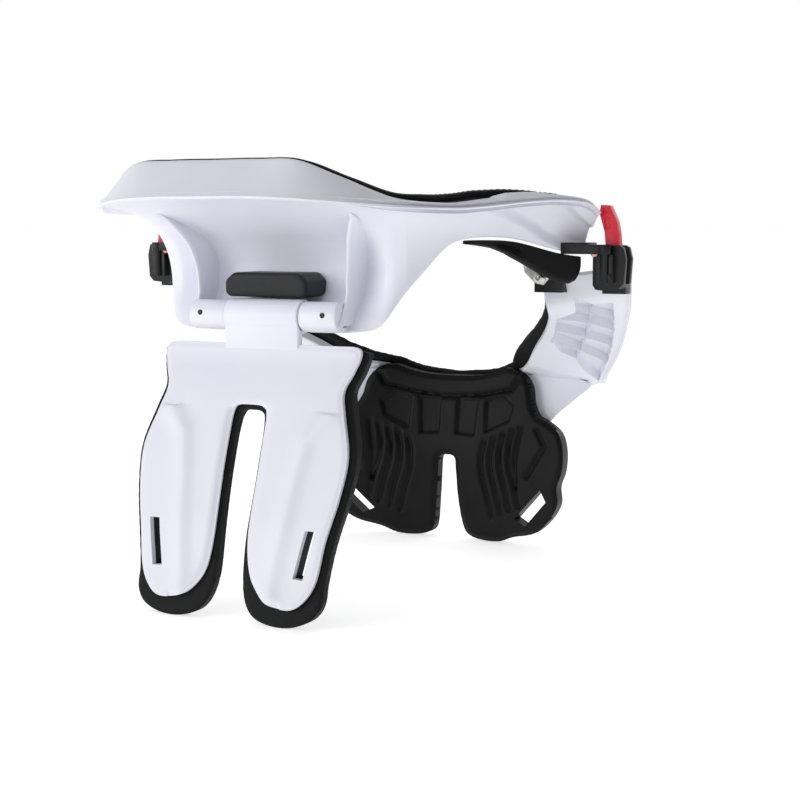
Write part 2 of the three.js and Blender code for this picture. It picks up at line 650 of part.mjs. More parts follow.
function rearCollarPad(room) {
  const grid = places(-REAR_LAST, REAR_LAST, 1.5).map((place) => {
    const inward = neckward(place);
    const top = onRear(topCurve, place).addScaledVector(inward, SHELL_WALL + GAP + COLLAR_PAD_SETBACK);
    top.z += rearValue('raise', place) * COLLAR_PAD;
    const foot = onRear(footCurve, place);
    const lip = onRear(lipCurve, place);
    const rim = foot.clone().addScaledVector(inward, NECK_RIM);
    rim.z = THREE.MathUtils.lerp(foot.z, lip.z, rearValue('rim', place)) + COLLAR_PAD;
    const mid = top.clone().lerp(rim, 0.5);
    mid.z += COLLAR_PAD_CROWN;
    const rolled = rim.clone();
    rolled.z -= 2 * COLLAR_PAD;
    return [top, mid, rim, rolled];
  });
  return largest(wall(grid, 0, COLLAR_PAD).subtract(room));
}

function rearLowerPad(room) {
  const near = SHELL_WALL + 2 * GAP;
  const grid = places(-LOWER_PAD_LAST, LOWER_PAD_LAST, 1.5).map((place) => {
    const column = LOWER_PAD_SHARES.map((share) => rearWall(place, share));
    const end = column.at(-1).clone();
    end.z -= LOWER_PAD_DROP;
    return [...column, end];
  });
  const x0 = KNUCKLE_END + GAP;
  const deep = KNUCKLE_RADIUS + CUT;
  const under = SHELL_FOOT - 2 * SHELL_WALL;
  const bossRoom = block(-x0, x0, hingeY - deep, hingeY + deep, under, barrelTop);
  const x1 = BARREL_HALF + GAP;
  const strutRoom = block(-x1, x1, hingeY - deep, hingeY + 2 * deep, under, barrelTop);
  return largest(wall(grid, near, near + LOWER_PAD).subtract(bossRoom).subtract(strutRoom).subtract(room));
}

/** The rubber stop on the rear wall, which the barrel of the strut comes to rest under. */
function hingeStop(room) {
  const z0 = barrelTop + GAP;
  const z1 = z0 + STOP_HEIGHT;
  const outline = wholeOutline([
    [STOP_BOTTOM_HALF - STOP_CHAMFER, z0], [STOP_BOTTOM_HALF, z0 + STOP_CHAMFER],
    [STOP_BOTTOM_HALF, z1 - 2 * STOP_CHAMFER], [STOP_TOP_HALF, z1],
  ]);
  const face = hingeY + HINGE_SETBACK;
  return largest(prismY(outline, face - STOP_DEPTH, face + RECESS_DEPTH).subtract(room));
}

function sidePad(room) {
  const last = REAR_LAST - 0.1;
  const grid = SIDE_PAD_ROWS.map(({ at, height }) => {
    const top = onRear(footCurve, Math.min(at, last));
    top.z -= GAP + SHELL_WALL / 3;
    return [0, 0.5, 1].map((share) => top.clone().setZ(top.z - share * height * SHELL_HEIGHT));
  });
  return largest(wall(grid, 0, SIDE_PAD).subtract(room));
}

function hingePin() {
  const end = KNUCKLE_END - GAP;
  return rodX(-end, end, hingeY, HINGE_Z, HINGE_PIN_RADIUS, 16);
}

// Back strut
const strutProfile = STRUT_BEND.map(({ height, back }) => (
  new THREE.Vector3(0, hingeY - back * STRUT_REACH, height * STRUT_TOP)));

/** A slab that follows the strut's bend, from one distance behind its rear face to another. */
function strutSlab(near, far) {
  const edge = STRUT_HALF + 2 * STRUT_BORDER;
  const grid = [-edge, edge].map((x) => strutProfile.map((p) => p.clone().setX(x)));
  return wall(grid, near, far);
}

const strutOutline = (shares) => (
  shares.map(([x, z]) => [x * STRUT_HALF, TIP_DROP + z * (STRUT_TOP - TIP_DROP)]));
const strutReach = [hingeY - 2 * STRUT_REACH, hingeY + STRUT_REACH];

function strapSlots() {
  const slot = prismY(strutOutline(STRAP_SLOT), ...strutReach);
  return slot.add(mirrored(slot));
}

function strutPlate() {
  const outline = prismY(wholeOutline(strutOutline(STRUT_OUTLINE)), ...strutReach);
  const plate = strutSlab(0, STRUT_WALL).intersect(outline).subtract(strapSlots());
  const barrel = rodX(-BARREL_HALF, BARREL_HALF, hingeY, HINGE_Z, BARREL_RADIUS, 24);
  const webBack = hingeY - BARREL_RADIUS * BARREL_WEB_BACK;
  const webFront = webBack + STRUT_WALL * BARREL_WEB_THICK;
  const webFoot = STRUT_TOP - BARREL_WEB_LAP;
  const web = block(-BARREL_HALF, BARREL_HALF, webBack, webFront, webFoot, HINGE_Z);
  const bore = rodX(-STRUT_HALF, STRUT_HALF, hingeY, HINGE_Z, HINGE_PIN_RADIUS + GAP, 16);
  return plate.add(barrel).add(web).subtract(bore);
}

/** Outline of the foam: the plate's, moved outwards, with its own fuller tips. */
function foamOutline() {
  const plate = strutOutline(STRUT_OUTLINE);
  const inside = (x, z) => x < STRUT_HALF * FORK_HALF && z < STRUT_TOP * FORK_TOP;
  const grown = plate.slice(1).map(([x, z], i) => {
    const before = plate[i];
    const after = plate[Math.min(i + 2, plate.length - 1)];
    const along = new THREE.Vector2(after[0] - before[0], after[1] - before[1]).normalize();
    const border = inside(x, z) ? STRUT_BORDER * FORK_BORDER : STRUT_BORDER;
    return [x - along.y * border, z + along.x * border];
  });
  const tipHeight = FOAM_TIP_TOP * STRUT_TOP;
  const outer = grown.filter(([x, z], i) => i < 9 && z > tipHeight);
  const inner = grown.filter(([x, z], i) => i > 12 && z > tipHeight * FORK_TIP_TOP);
  const tips = FOAM_TIP.map(([x, z]) => [x * STRUT_HALF + (x > 0.5 ? STRUT_BORDER / 2 : 0), z * STRUT_TOP]);
  const top = [[0.8 * STRUT_HALF, STRUT_TOP - TIP_DROP / 2]];
  return [...top, ...outer, ...tips, ...inner];
}

function strutPad() {
  const outline = prismY(wholeOutline(foamOutline()), ...strutReach);
  const x1 = BARREL_HALF + GAP;
  const hingeRoom = block(-x1, x1, ...strutReach, STRUT_TOP - FOAM_TOP_DROP, HINGE_Z)
    .add(rodX(-2 * STRUT_HALF, 2 * STRUT_HALF, hingeY, HINGE_Z, BARREL_RADIUS + FOAM_SETBACK, 16));
  const near = STRUT_WALL + GAP;
  const foam = strutSlab(near, near + STRUT_PAD).intersect(outline);
  return largest(foam.subtract(strapSlots()).subtract(hingeRoom));
}

// Chest pad and the plate behind it
const chestOutline = (shares) => wholeOutline(shares.map(([x, z]) => [x * CHEST_HALF, z * CHEST_HEIGHT]));
const chestReach = [CHEST_FRONT - 3 * CHEST_WRAP, CHEST_FRONT + 3 * CHEST_WRAP];

/** A slab that wraps round the chest, from one distance in front of the pad's neck face on. */
function chestSlab(near, far) {
  const half = 1.25;
  const steps = 16;
  const grid = Array.from({ length: steps + 1 }, (_, i) => {
    const x = half * ((2 * i) / steps - 1);
    return CHEST_BEND.map(({ height, forward }) => new THREE.Vector3(
      x * CHEST_HALF, forward * CHEST_FRONT - CHEST_WRAP * x * x, height * CHEST_HEIGHT));
  });
  return wall(grid, -far, -near);
}

function chestLoops() {
  const loop = prismY(CHEST_LOOP.map(([x, z]) => [x * CHEST_HALF, z * CHEST_HEIGHT]), ...chestReach);
  return loop.add(mirrored(loop));
}

function chestPad() {
  const outline = prismY(chestOutline(CHEST_OUTLINE), ...chestReach);
  return chestSlab(0, CHEST_PAD).intersect(outline).subtract(chestLoops());
}

/** The chest pad grown by the gap, to keep the front shell clear of it. */
function chestPadRoom() {
  const grown = CHEST_OUTLINE.map(([x, z]) => [x * CHEST_HALF + (x > 0 ? GAP : 0), z * CHEST_HEIGHT + GAP]);
  return chestSlab(-GAP, CHEST_PAD + GAP).intersect(prismY(wholeOutline(grown), ...chestReach));
}

// Front half
const frontPlace = (shares) => placed(
  shares,
  [0, ARM_BACK, ARM_TOP],
  [ARM_HALF, ARM_FRONT - ARM_BACK, -ARM_DROP],
);
const ARM_LAST = ARM_SECTIONS.length - 1;
const fromMiddle = [...ARM_SECTIONS].reverse();
const innerCurve = mirroredCurve(fromMiddle.map((s) => frontPlace(s.inner)));
const outerCurve = mirroredCurve(fromMiddle.map((s) => frontPlace(s.outer)));
const onFront = (curve, place) => curve.getPoint((ARM_LAST - place + ARM_LAST) / (2 * ARM_LAST));

/** The front shell's lower face: place 0 at the right latch, share 0 at the neck edge. */
function frontFace(place, share) {
  return onFront(innerCurve, place).lerp(onFront(outerCurve, place), share);
}

/** The unit normal of the front shell's lower face, backwards and down. */
function frontNormal(place, share) {
  const step = 0.05;
  const here = frontFace(place, share);
  const along = frontFace(place + step, share).sub(here);
  const across = frontFace(place, share + step).sub(here);
  return along.cross(across).normalize();
}

const frontGrid = places(0, 2 * ARM_LAST, 2).map((place) => (
  [0, 0.25, 0.5, 0.75, 1].map((share) => frontFace(place, share))));

/** One rib of the pocket, through places and shares on the right arm. */
function pocketRib(rows) {
  const points = rows.map(([place, share]) => frontFace(place, share));
  const normals = rows.map(([place, share]) => frontNormal(place, share));
  return ridge(points, normals, POCKET_RIB_WIDTH, rows.map(() => POCKET_RIB_RISE), FRONT_WALL / 2);
}

/** The ribs that stand in the pocket of the right arm, with the pocket's border. */
function pocketRibs() {
  const { start, end, near, far, middle, crossRibs } = POCKET;
  const steps = 3;
  const lengthwise = (share) => Array.from({ length: steps + 1 }, (_, i) => (
    [THREE.MathUtils.lerp(start, end, i / steps), share]));
  let ribs = pocketRib(lengthwise(near)).add(pocketRib(lengthwise(middle))).add(pocketRib(lengthwise(far)));
  for (let i = 0; i <= crossRibs; i += 1) {
    const place = THREE.MathUtils.lerp(start, end, i / crossRibs);
    ribs = ribs.add(pocketRib([[place, near], [place, far]]));
  }
  return ribs;
}

function frontShell(padRoom) {
  const ribs = pocketRibs();
  const near = CHEST_PAD + GAP;
  const plate = chestSlab(near, near + CHEST_SHEET)
    .intersect(prismY(chestOutline(CHEST_PLATE_OUTLINE), ...chestReach));
  return largest(wall(frontGrid, -FRONT_WALL, 0).add(ribs).add(mirrored(ribs)).add(plate).subtract(padRoom));
}

/** The front shell's arms and lip grown by the gap. */
function frontShellRoom() {
  return wall(grown(frontGrid, GAP), -FRONT_WALL - GAP, GAP);
}

/** The plate behind the chest pad grown by the gap. */
function chestPlateRoom() {
  const grownOutline = CHEST_PLATE_OUTLINE.map(([x, z]) => (
    [x * CHEST_HALF + (x > 0 ? GAP : 0), z * CHEST_HEIGHT + GAP]));
  return chestSlab(CHEST_PAD, CHEST_PAD + CHEST_SHEET + 2 * GAP)
    .intersect(prismY(wholeOutline(grownOutline), ...chestReach));
}

/** The black pad on top of the front half, which shows as an edge on the neck side. */
function frontCollarPad(padRoom) {
  const first = 0.6;
  const grid = places(first, 2 * ARM_LAST - first, 1.5).map((place) => {
    const section = place <= ARM_LAST ? place : 2 * ARM_LAST - place;
    const width = onFront(outerCurve, place).distanceTo(onFront(innerCurve, place));
    const edge = valueAt(ARM_SECTIONS.map((row) => row.edge), section) * COLLAR_EDGE;
    return [-edge / width, ...FRONT_PAD_SHARES].map((share) => frontFace(place, share));
  });
  const near = FRONT_WALL + 2 * GAP;
  return largest(wall(grid, -near - FRONT_PAD, -near)
    .subtract(padRoom).subtract(frontShellRoom()).subtract(chestPlateRoom()));
}

// Shoulder latches, on the right side
const plateBack = FRAME_Y - PLATE_GAP / 2 - PLATE;
const plateFront = FRAME_Y + PLATE_GAP / 2 + PLATE;
const postX = FRAME_X + POST_OUT;
const postY = FRAME_Y - POST_BACK;
const frameOutline = FRAME_OUTLINE.map(([x, z]) => (
  [FRAME_X + x * FRAME_WIDTH, FRAME_BOTTOM + z * FRAME_HEIGHT]));
const leverOutline = LEVER_OUTLINE.map(([x, z]) => (
  [FRAME_X + x * FRAME_WIDTH, LEVER_PIN_Z + z * LEVER_LENGTH]));

/** The part on the shell's end: a block round the shell's wall, an arm with a lug, and a post. */
function latchBase(room, ...pads) {
  const lugTop = LUG_BOTTOM + LUG_HEIGHT;
  const x1 = FRAME_X - BASE_PLAY;
  const [back, front] = [postY - LUG_ARM, FRAME_Y + LUG_RADIUS];
  const hold = block(x1 - BASE_LENGTH, x1, back, front, LUG_BOTTOM, lugTop + BASE_CAP);
  const arm = block(x1 - LUG_RADIUS, postX, back, postY + LUG_ARM, LUG_BOTTOM, lugTop);
  const lug = rodZ(postX, postY, LUG_BOTTOM, lugTop, LUG_RADIUS, 16);
  const post = rodZ(postX, postY, POST_BOTTOM, lugTop, POST_RADIUS, 12);
  const base = hold.add(arm).add(lug).subtract(room).add(post);
  return largest(pads.reduce((rest, pad) => rest.subtract(pad), base));
}

/**
 * The black frame on the front arm: two plates, the web between them, the lever's pin and an
 * open knuckle that lies in front of the base's post, so that it comes off forwards.
 */
function latchFrame() {
  const frameTop = FRAME_BOTTOM + FRAME_HEIGHT;
  const x1 = FRAME_X + FRAME_WIDTH;
  const [roomBack, roomFront] = [plateBack + PLATE, plateFront - PLATE];
  const plates = prismY(frameOutline, plateBack, plateFront)
    .subtract(block(FRAME_X - CUT, x1 + CUT, roomBack, roomFront, FRAME_BOTTOM + FRAME_WEB, frameTop + CUT));
  const radius = POST_RADIUS + GAP + KNUCKLE_WALL;
  const knuckleTop = LUG_BOTTOM - GAP;
  const knuckle = rodZ(postX, postY, POST_BOTTOM, knuckleTop, radius, 16)
    .add(block(postX - radius, postX + radius, postY, plateBack + PLATE / 2, POST_BOTTOM, knuckleTop));
  const [cutLeft, cutRight] = [postX - FRAME_WIDTH, postX + FRAME_WIDTH];
  const postRoom = rodZ(postX, postY, POST_BOTTOM - CUT, LUG_BOTTOM, POST_RADIUS + GAP, 16)
    .add(block(cutLeft, cutRight, postY - radius - CUT, postY, POST_BOTTOM - CUT, LUG_BOTTOM));
  const foot = block(
    FRAME_X + FOOT_INNER, x1 - FOOT_OUTER, roomFront, ARM_BACK + FOOT_LAP,
    FRAME_BOTTOM - FOOT_DROP, ARM_TOP + FOOT_TOP,
  );
  const pinBack = plateBack + PLATE / 2;
  const pinFront = plateFront - PLATE / 2;
  const pin = rodY(LEVER_PIN_X, pinBack, pinFront, LEVER_PIN_Z, LEVER_PIN_RADIUS, 12);
  return largest(plates.add(foot).add(knuckle).subtract(postRoom).subtract(frontShellRoom()).add(pin));
}

function latchLever() {
  const y0 = plateBack + PLATE + LEVER_SIDE_PLAY;
  const y1 = plateFront - PLATE - LEVER_SIDE_PLAY;
  const bore = rodY(LEVER_PIN_X, y0 - CUT, y1 + CUT, LEVER_PIN_Z, LEVER_PIN_RADIUS + GAP, 16);
  const knuckle = rodY(LEVER_PIN_X, y0, y1, LEVER_PIN_Z, LEVER_PIN_RADIUS + KNUCKLE_WALL, 16);
  return prismY(leverOutline, y0, y1).add(knuckle).subtract(bore);
}

// Hardware on the inner end of the right arm
const blockFace = ARM_BACK - BLOCK_SETBACK;
const bracketX = frontPlace(ARM_SECTIONS[0].inner).x + BRACKET_OUT;
const bracketZ = ARM_TOP - BRACKET_DROP;

function armBlock() {
  const [x0, z1] = [bracketX - BLOCK_WIDTH / 4, bracketZ + SCREW_DROP];
  const whole = block(x0, x0 + BLOCK_WIDTH, blockFace, blockFace + BLOCK_DEPTH, z1 - BLOCK_HEIGHT, z1);
  return largest(whole.subtract(frontShellRoom()));
}

function armBracket() {
  const outline = BRACKET_OUTLINE.map(([x, z]) => (
    [bracketX + x * BRACKET_WIDTH, bracketZ + z * BRACKET_HEIGHT]));
  return prismY(outline, blockFace - GAP - BRACKET, blockFace - GAP);
}

function bracketScrew() {
  const face = blockFace - 2 * GAP - BRACKET;
  const profile = SCREW_PROFILE.map(([r, h]) => new THREE.Vector2(r * SCREW_RADIUS, h * SCREW_RISE));
  const geometry = new THREE.LatheGeometry(profile, 16);
  geometry.rotateX(Math.PI);
  geometry.translate(bracketX, face, bracketZ - SCREW_DROP);
  return solid(geometry);
}

// Materials
const WHITE = new THREE.MeshStandardMaterial({ color: 0xf2f2f5, roughness: 0.42, metalness: 0 });
const FOAM = new THREE.MeshStandardMaterial({ color: 0x17171a, roughness: 0.85, metalness: 0 });
const BLACK = new THREE.MeshStandardMaterial({ color: 0x1d1d20, roughness: 0.5, metalness: 0 });
const RED = new THREE.MeshStandardMaterial({ color: 0xd8102a, roughness: 0.38, metalness: 0 });
const STEEL = new THREE.MeshStandardMaterial({ color: 0xb8b6b0, roughness: 0.3, metalness: 1 });

const group = new THREE.Group();

function addPiece(name, shape, material) {
  const mesh = new THREE.Mesh(geometryOf(shape), material);
  mesh.name = name;
  group.add(mesh);
}

/** Adds a piece of the right side and its mirror image on the left. */
function addPair(name, shape, material) {
  addPiece(`${name}_right`, shape, material);
  addPiece(`${name}_left`, mirrored(shape), material);
}

const shellRoom = rearShellRoom();
const padRoom = chestPadRoom();
const sidePadSolid = sidePad(shellRoom);
const collarPadSolid = rearCollarPad(shellRoom);

addPiece('rear_shell', rearShell(), WHITE);
addPiece('rear_collar_pad', collarPadSolid, FOAM);
addPiece('rear_lower_pad', rearLowerPad(shellRoom), FOAM);
addPiece('hinge_stop', hingeStop(shellRoom), BLACK);
addPiece('hinge_pin', hingePin(), STEEL);
addPair('side_pad', sidePadSolid, FOAM);
addPair('latch_base', latchBase(shellRoom, sidePadSolid, collarPadSolid), BLACK);
addPiece('strut_plate', strutPlate(), WHITE);
addPiece('strut_pad', strutPad(), FOAM);
addPiece('front_shell', frontShell(padRoom), WHITE);
addPiece('front_collar_pad', frontCollarPad(padRoom), FOAM);
addPiece('chest_pad', chestPad(), FOAM);
addPair('latch_frame', latchFrame(), BLACK);
addPair('latch_lever', latchLever(), RED);
addPair('arm_block', armBlock(), BLACK);
addPair('arm_bracket', armBracket(), STEEL);
addPair('bracket_screw', bracketScrew(), STEEL);

// The origin is the middle of the brace's outline on the ground
const bounds = new THREE.Box3().setFromObject(group);
const centre = bounds.getCenter(new THREE.Vector3());
group.position.set(-centre.x, -centre.y, -bounds.min.z);
group.updateMatrixWorld(true);

export default group;
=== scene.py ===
"""A motocross neck brace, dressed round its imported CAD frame.

Sizes are millimetres in the part's frame: +Z up, +Y the wearer's front, +X the wearer's
right. Meshes are written in metres.
"""

from __future__ import annotations

import logging
import math
from dataclasses import dataclass
from enum import Enum
from typing import Callable, Sequence

import bmesh
import bpy
import numpy as np
from mathutils import Matrix, Vector

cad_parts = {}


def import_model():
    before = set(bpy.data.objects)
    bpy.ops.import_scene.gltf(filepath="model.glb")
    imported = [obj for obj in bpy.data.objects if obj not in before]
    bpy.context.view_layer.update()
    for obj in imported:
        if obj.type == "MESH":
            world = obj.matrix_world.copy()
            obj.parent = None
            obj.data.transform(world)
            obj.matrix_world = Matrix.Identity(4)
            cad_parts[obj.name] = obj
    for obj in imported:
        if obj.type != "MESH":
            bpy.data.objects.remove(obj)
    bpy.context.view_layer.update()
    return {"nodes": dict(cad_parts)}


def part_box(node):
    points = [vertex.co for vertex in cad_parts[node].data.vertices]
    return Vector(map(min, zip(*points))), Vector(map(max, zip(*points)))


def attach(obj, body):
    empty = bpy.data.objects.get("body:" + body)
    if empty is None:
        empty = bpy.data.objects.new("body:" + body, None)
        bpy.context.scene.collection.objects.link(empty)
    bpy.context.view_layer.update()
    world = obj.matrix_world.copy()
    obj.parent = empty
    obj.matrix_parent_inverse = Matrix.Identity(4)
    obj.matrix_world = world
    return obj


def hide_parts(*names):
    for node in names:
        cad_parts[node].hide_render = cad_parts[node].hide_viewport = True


LOG = logging.getLogger("neck_brace")
MM = 0.001
CLEARANCE = 0.3
CREASE = 40.0
MERGE = 0.002

Triple = tuple[float, float, float]
Steps = tuple[float, float, int]
Pair = tuple[float, float]
Colour = tuple[float, float, float]


class Body(Enum):
    """The moving bodies of the brace."""

    REAR = "rear"
    STRUT = "strut"
    FRONT = "front"
    LEVER_RIGHT = "lever_right"
    LEVER_LEFT = "lever_left"


class Slot(Enum):
    """The material slots."""

    WHITE = "white_nylon"
    FOAM = "foam"
    RUBBER = "black_rubber"
    BLACK = "black_nylon"
    RED = "red_nylon"
    STEEL = "steel"


class Side(Enum):
    """A side of the brace, with the sign of its X."""

    RIGHT = 1
    LEFT = -1

    @property
    def suffix(self) -> str:
        """The ending of this side's node names."""
        return self.name.lower()

    @property
    def label(self) -> str:
        """The ending of this side's piece names."""
        return self.name.title()


def lerp(a: float, b: float, share: float) -> float:
    """The value a share of the way from a to b."""
    return a + (b - a) * share


def table_value(table: Sequence[float], place: float) -> float:
    """The value of a list at a fractional place."""
    low = max(0, min(int(place), len(table) - 2))
    return lerp(table[low], table[low + 1], place - low)


def row_value(rows: Sequence[Pair], key: float) -> float:
    """The second column of a table at a value of its first column, held at both ends."""
    if key <= rows[0][0]:
        return rows[0][1]
    for (k0, v0), (k1, v1) in zip(rows, rows[1:]):
        if key <= k1:
            return lerp(v0, v1, (key - k0) / (k1 - k0))
    return rows[-1][1]


def smooth_value(rows: Sequence[Pair], key: float, step: float) -> float:
    """A table's value, averaged over seven keys a step apart."""
    return sum(row_value(rows, key + k * step) for k in range(-3, 4)) / 7


class MirroredCurve:
    """A smooth curve through points on the right and their mirror images, tight on short spans."""

    def __init__(self, points: Sequence[Vector]) -> None:
        """Takes the points from the middle to the right end."""
        left = [Vector((-p.x, p.y, p.z)) for p in reversed(points[1:])]
        self.points = left + list(points)
        self.last = len(points) - 1
        self.known: dict[float, Vector] = {}

    def at(self, place: float) -> Vector:
        """The point at a place: 0 in the middle, positive to the right."""
        if place not in self.known:
            self.known[place] = self._at(place)
        return self.known[place]

    def _at(self, place: float) -> Vector:
        """Works out the point at a place."""
        count = len(self.points)
        position = min(max(place + self.last, 0.0), count - 1.0)
        index = min(int(position), count - 2)
        share = position - index
        p1, p2 = self.points[index], self.points[index + 1]
        p0 = self.points[index - 1] if index > 0 else 2 * p1 - p2
        p3 = self.points[index + 2] if index + 2 < count else 2 * p2 - p1
        dt0, dt1, dt2 = (math.sqrt((b - a).length) for a, b in ((p0, p1), (p1, p2), (p2, p3)))
        out = ((p1 - p0) / dt0 - (p2 - p0) / (dt0 + dt1) + (p2 - p1) / dt1) * dt1
        back = ((p2 - p1) / dt1 - (p3 - p1) / (dt1 + dt2) + (p3 - p2) / dt2) * dt1
        c2 = 3 * (p2 - p1) - 2 * out - back
        c3 = 2 * (p1 - p2) + out + back
        return p1 + share * (out + share * (c2 + share * c3))


@dataclass(frozen=True)
class RearSection:
    """One section of the rear half, in shares of its width, length and height.

    Besides its three points it holds how hollow the wall is, how high the padding's rim and
    its outer edge lie, and how much of the recess it has.
    """

    lip: Triple
    foot: Triple
    top: Triple
    hollow: float
    rim: float
    raised: float
    recess: float = 0.0


@dataclass
class RearSurface:
    """The faces that the shell and padding of the rear half share."""

    shift: float
    half: float = 137.0
    length: float = 176.0
    front: float = 28.0
    foot_z: float = 141.0
    height: float = 84.0
    recess_depth: float = 20.0
    hinge_setback: float = 4.0
    recess_bend: tuple[Pair, ...] = (
        (0.0, 0.0), (0.28, 0.0), (0.34, 0.03), (0.4, 0.12), (0.46, 0.3), (0.52, 0.5), (0.58, 0.7),
        (0.64, 0.86), (0.7, 0.93), (0.76, 0.94), (0.82, 0.86), (0.88, 0.72), (0.94, 0.38), (1.0, 0.0),
    )
    sections: tuple[RearSection, ...] = (
        RearSection((0.0, 1.0, 0.774), (0.0, 0.608, 0.0), (0.0, 0.898, 1.0), 2.5, 0.85, 0.35, 1.0),
        RearSection((0.182, 0.994, 0.774), (0.182, 0.608, 0.0), (0.182, 0.898, 1.0), 2.5, 0.85, 0.35, 1.0),
        RearSection((0.365, 0.96, 0.762), (0.33, 0.606, 0.006), (0.336, 0.898, 0.988), 2.5, 0.85, 0.35, 1.0),
        RearSection((0.54, 0.864, 0.738), (0.438, 0.597, 0.036), (0.467, 0.83, 0.893), 2.3, 0.84, 0.4, 0.45),
        RearSection((0.642, 0.744, 0.726), (0.511, 0.534, 0.226), (0.562, 0.699, 0.786), 2.0, 0.8, 0.7),
        RearSection((0.686, 0.625, 0.72), (0.555, 0.466, 0.369), (0.613, 0.602, 0.762), 1.7, 0.75, 1.0),
        RearSection((0.715, 0.511, 0.72), (0.588, 0.398, 0.488), (0.65, 0.489, 0.757), 1.5, 0.7, 1.2),
        RearSection((0.774, 0.386, 0.738), (0.613, 0.318, 0.536), (0.7, 0.38, 0.78), 1.4, 0.65, 1.2),
        RearSection((0.847, 0.273, 0.762), (0.657, 0.227, 0.548), (0.772, 0.261, 0.81), 1.3, 0.6, 0.8),
        RearSection((0.927, 0.159, 0.774), (0.723, 0.153, 0.536), (0.854, 0.15, 0.818), 1.3, 0.6, 0.3),
        RearSection((0.985, 0.068, 0.75), (0.847, 0.045, 0.464), (0.912, 0.074, 0.798), 1.25, 0.6, 0.3),
        RearSection((1.0, 0.023, 0.702), (0.927, 0.0, 0.44), (0.942, 0.028, 0.75), 1.2, 0.5, 0.3),
    )

    def __post_init__(self) -> None:
        """Lays the curves through the sections."""
        self.lip = MirroredCurve([self._placed(s.lip) for s in self.sections])
        self.foot = MirroredCurve([self._placed(s.foot) for s in self.sections])
        self.top = MirroredCurve([self._placed(s.top) for s in self.sections])
        self.last = float(len(self.sections) - 1)

    def _placed(self, shares: Triple) -> Vector:
        """A point in millimetres from three shares."""
        x, y, z = shares
        return Vector((
            x * self.half,
            self.front - y * self.length + self.shift,
            self.foot_z + z * self.height,
        ))

    def value(self, column: str, place: float) -> float:
        """A column of the sections at a place."""
        return table_value([getattr(s, column) for s in self.sections], abs(place))

    def wall(self, place: float, share: float) -> Vector:
        """The wall below the lip: share 0 at the lip, 1 at the lower edge."""
        lip, foot = self.lip.at(place), self.foot.at(place)
        hollow = self.value("hollow", place)
        reach = 1 - (1 - share) ** hollow
        recess = self.value("recess", place) * row_value(self.recess_bend, share)
        return Vector((
            lerp(lip.x, foot.x, reach),
            lerp(lip.y, foot.y, reach) + self.recess_depth * recess,
            lerp(lip.z, foot.z, share**hollow),
        ))

    def neckward(self, place: float) -> Vector:
        """The level direction from the lip to the lower edge."""
        way = self.foot.at(place) - self.lip.at(place)
        way.z = 0
        return way.normalized()

    @property
    def hinge_y(self) -> float:
        """Where the hinge axis lies, behind the wall's lower edge."""
        return self.foot.at(0).y - self.hinge_setback


@dataclass(frozen=True)
class ArmSection:
    """One section of the front half, in shares of its width, length and drop."""

    inner: Triple
    outer: Triple


@dataclass
class FrontSurface:
    """The lower face of the front arms and lip."""

    shift: float
    half: float = 149.0
    back: float = 36.8
    front: float = 158.0
    top: float = 170.0
    drop: float = 78.0
    sections: tuple[ArmSection, ...] = (
        ArmSection((0.658, 0.0, 0.075), (1.0, 0.0, 0.0)),
        ArmSection((0.664, 0.065, 0.265), (0.975, 0.11, 0.165)),
        ArmSection((0.634, 0.17, 0.355), (0.925, 0.25, 0.345)),
        ArmSection((0.576, 0.29, 0.47), (0.85, 0.41, 0.575)),
        ArmSection((0.476, 0.45, 0.625), (0.765, 0.54, 0.765)),
        ArmSection((0.392, 0.6, 0.77), (0.69, 0.69, 0.875)),
        ArmSection((0.27, 0.82, 0.85), (0.52, 0.86, 0.95)),
        ArmSection((0.134, 0.84, 0.91), (0.29, 0.96, 0.985)),
        ArmSection((0.0, 0.845, 0.945), (0.0, 1.0, 1.0)),
    )

    def __post_init__(self) -> None:
        """Lays the neck edge and the outer edge through the sections."""
        from_middle = self.sections[::-1]
        self.inner = MirroredCurve([self._placed(s.inner) for s in from_middle])
        self.outer = MirroredCurve([self._placed(s.outer) for s in from_middle])
        self.last = float(len(self.sections) - 1)

    def _placed(self, shares: Triple) -> Vector:
        """A point in millimetres from three shares."""
        x, y, z = shares
        return Vector((
            x * self.half,
            lerp(self.back, self.front, y) + self.shift,
            self.top - z * self.drop,
        ))

    def face(self, place: float, share: float) -> Vector:
        """The lower face: place 0 at the right latch, share 0 at the neck edge."""
        side = self.last - place
        return self.inner.at(side).lerp(self.outer.at(side), share)


class Value:
    """A shader socket that takes part in Python expressions."""

    def __init__(self, graph: Graph, socket: bpy.types.NodeSocket | None) -> None:
        """Wraps an output socket of a graph."""
        self.graph = graph
        self.socket = socket

    def _math(self, operation: str, *values: Value | float) -> Value:
        """One Math node on these values."""
        return self.graph.node(
            "ShaderNodeMath", {"operation": operation}, dict(enumerate(values)),
        )

    def __add__(self, other: Value | float) -> Value:
        """This value plus another."""
        return self._math("ADD", self, other)

    def __radd__(self, other: float) -> Value:
        """A number plus this value."""
        return self._math("ADD", other, self)

    def __sub__(self, other: Value | float) -> Value:
        """This value less another."""
        return self._math("SUBTRACT", self, other)

    def __rsub__(self, other: float) -> Value:
        """A number less this value."""
        return self._math("SUBTRACT", other, self)

    def __mul__(self, other: Value | float) -> Value:
        """This value times another."""
        return self._math("MULTIPLY", self, other)

    def __rmul__(self, other: float) -> Value:
        """A number times this value."""
        return self._math("MULTIPLY", other, self)


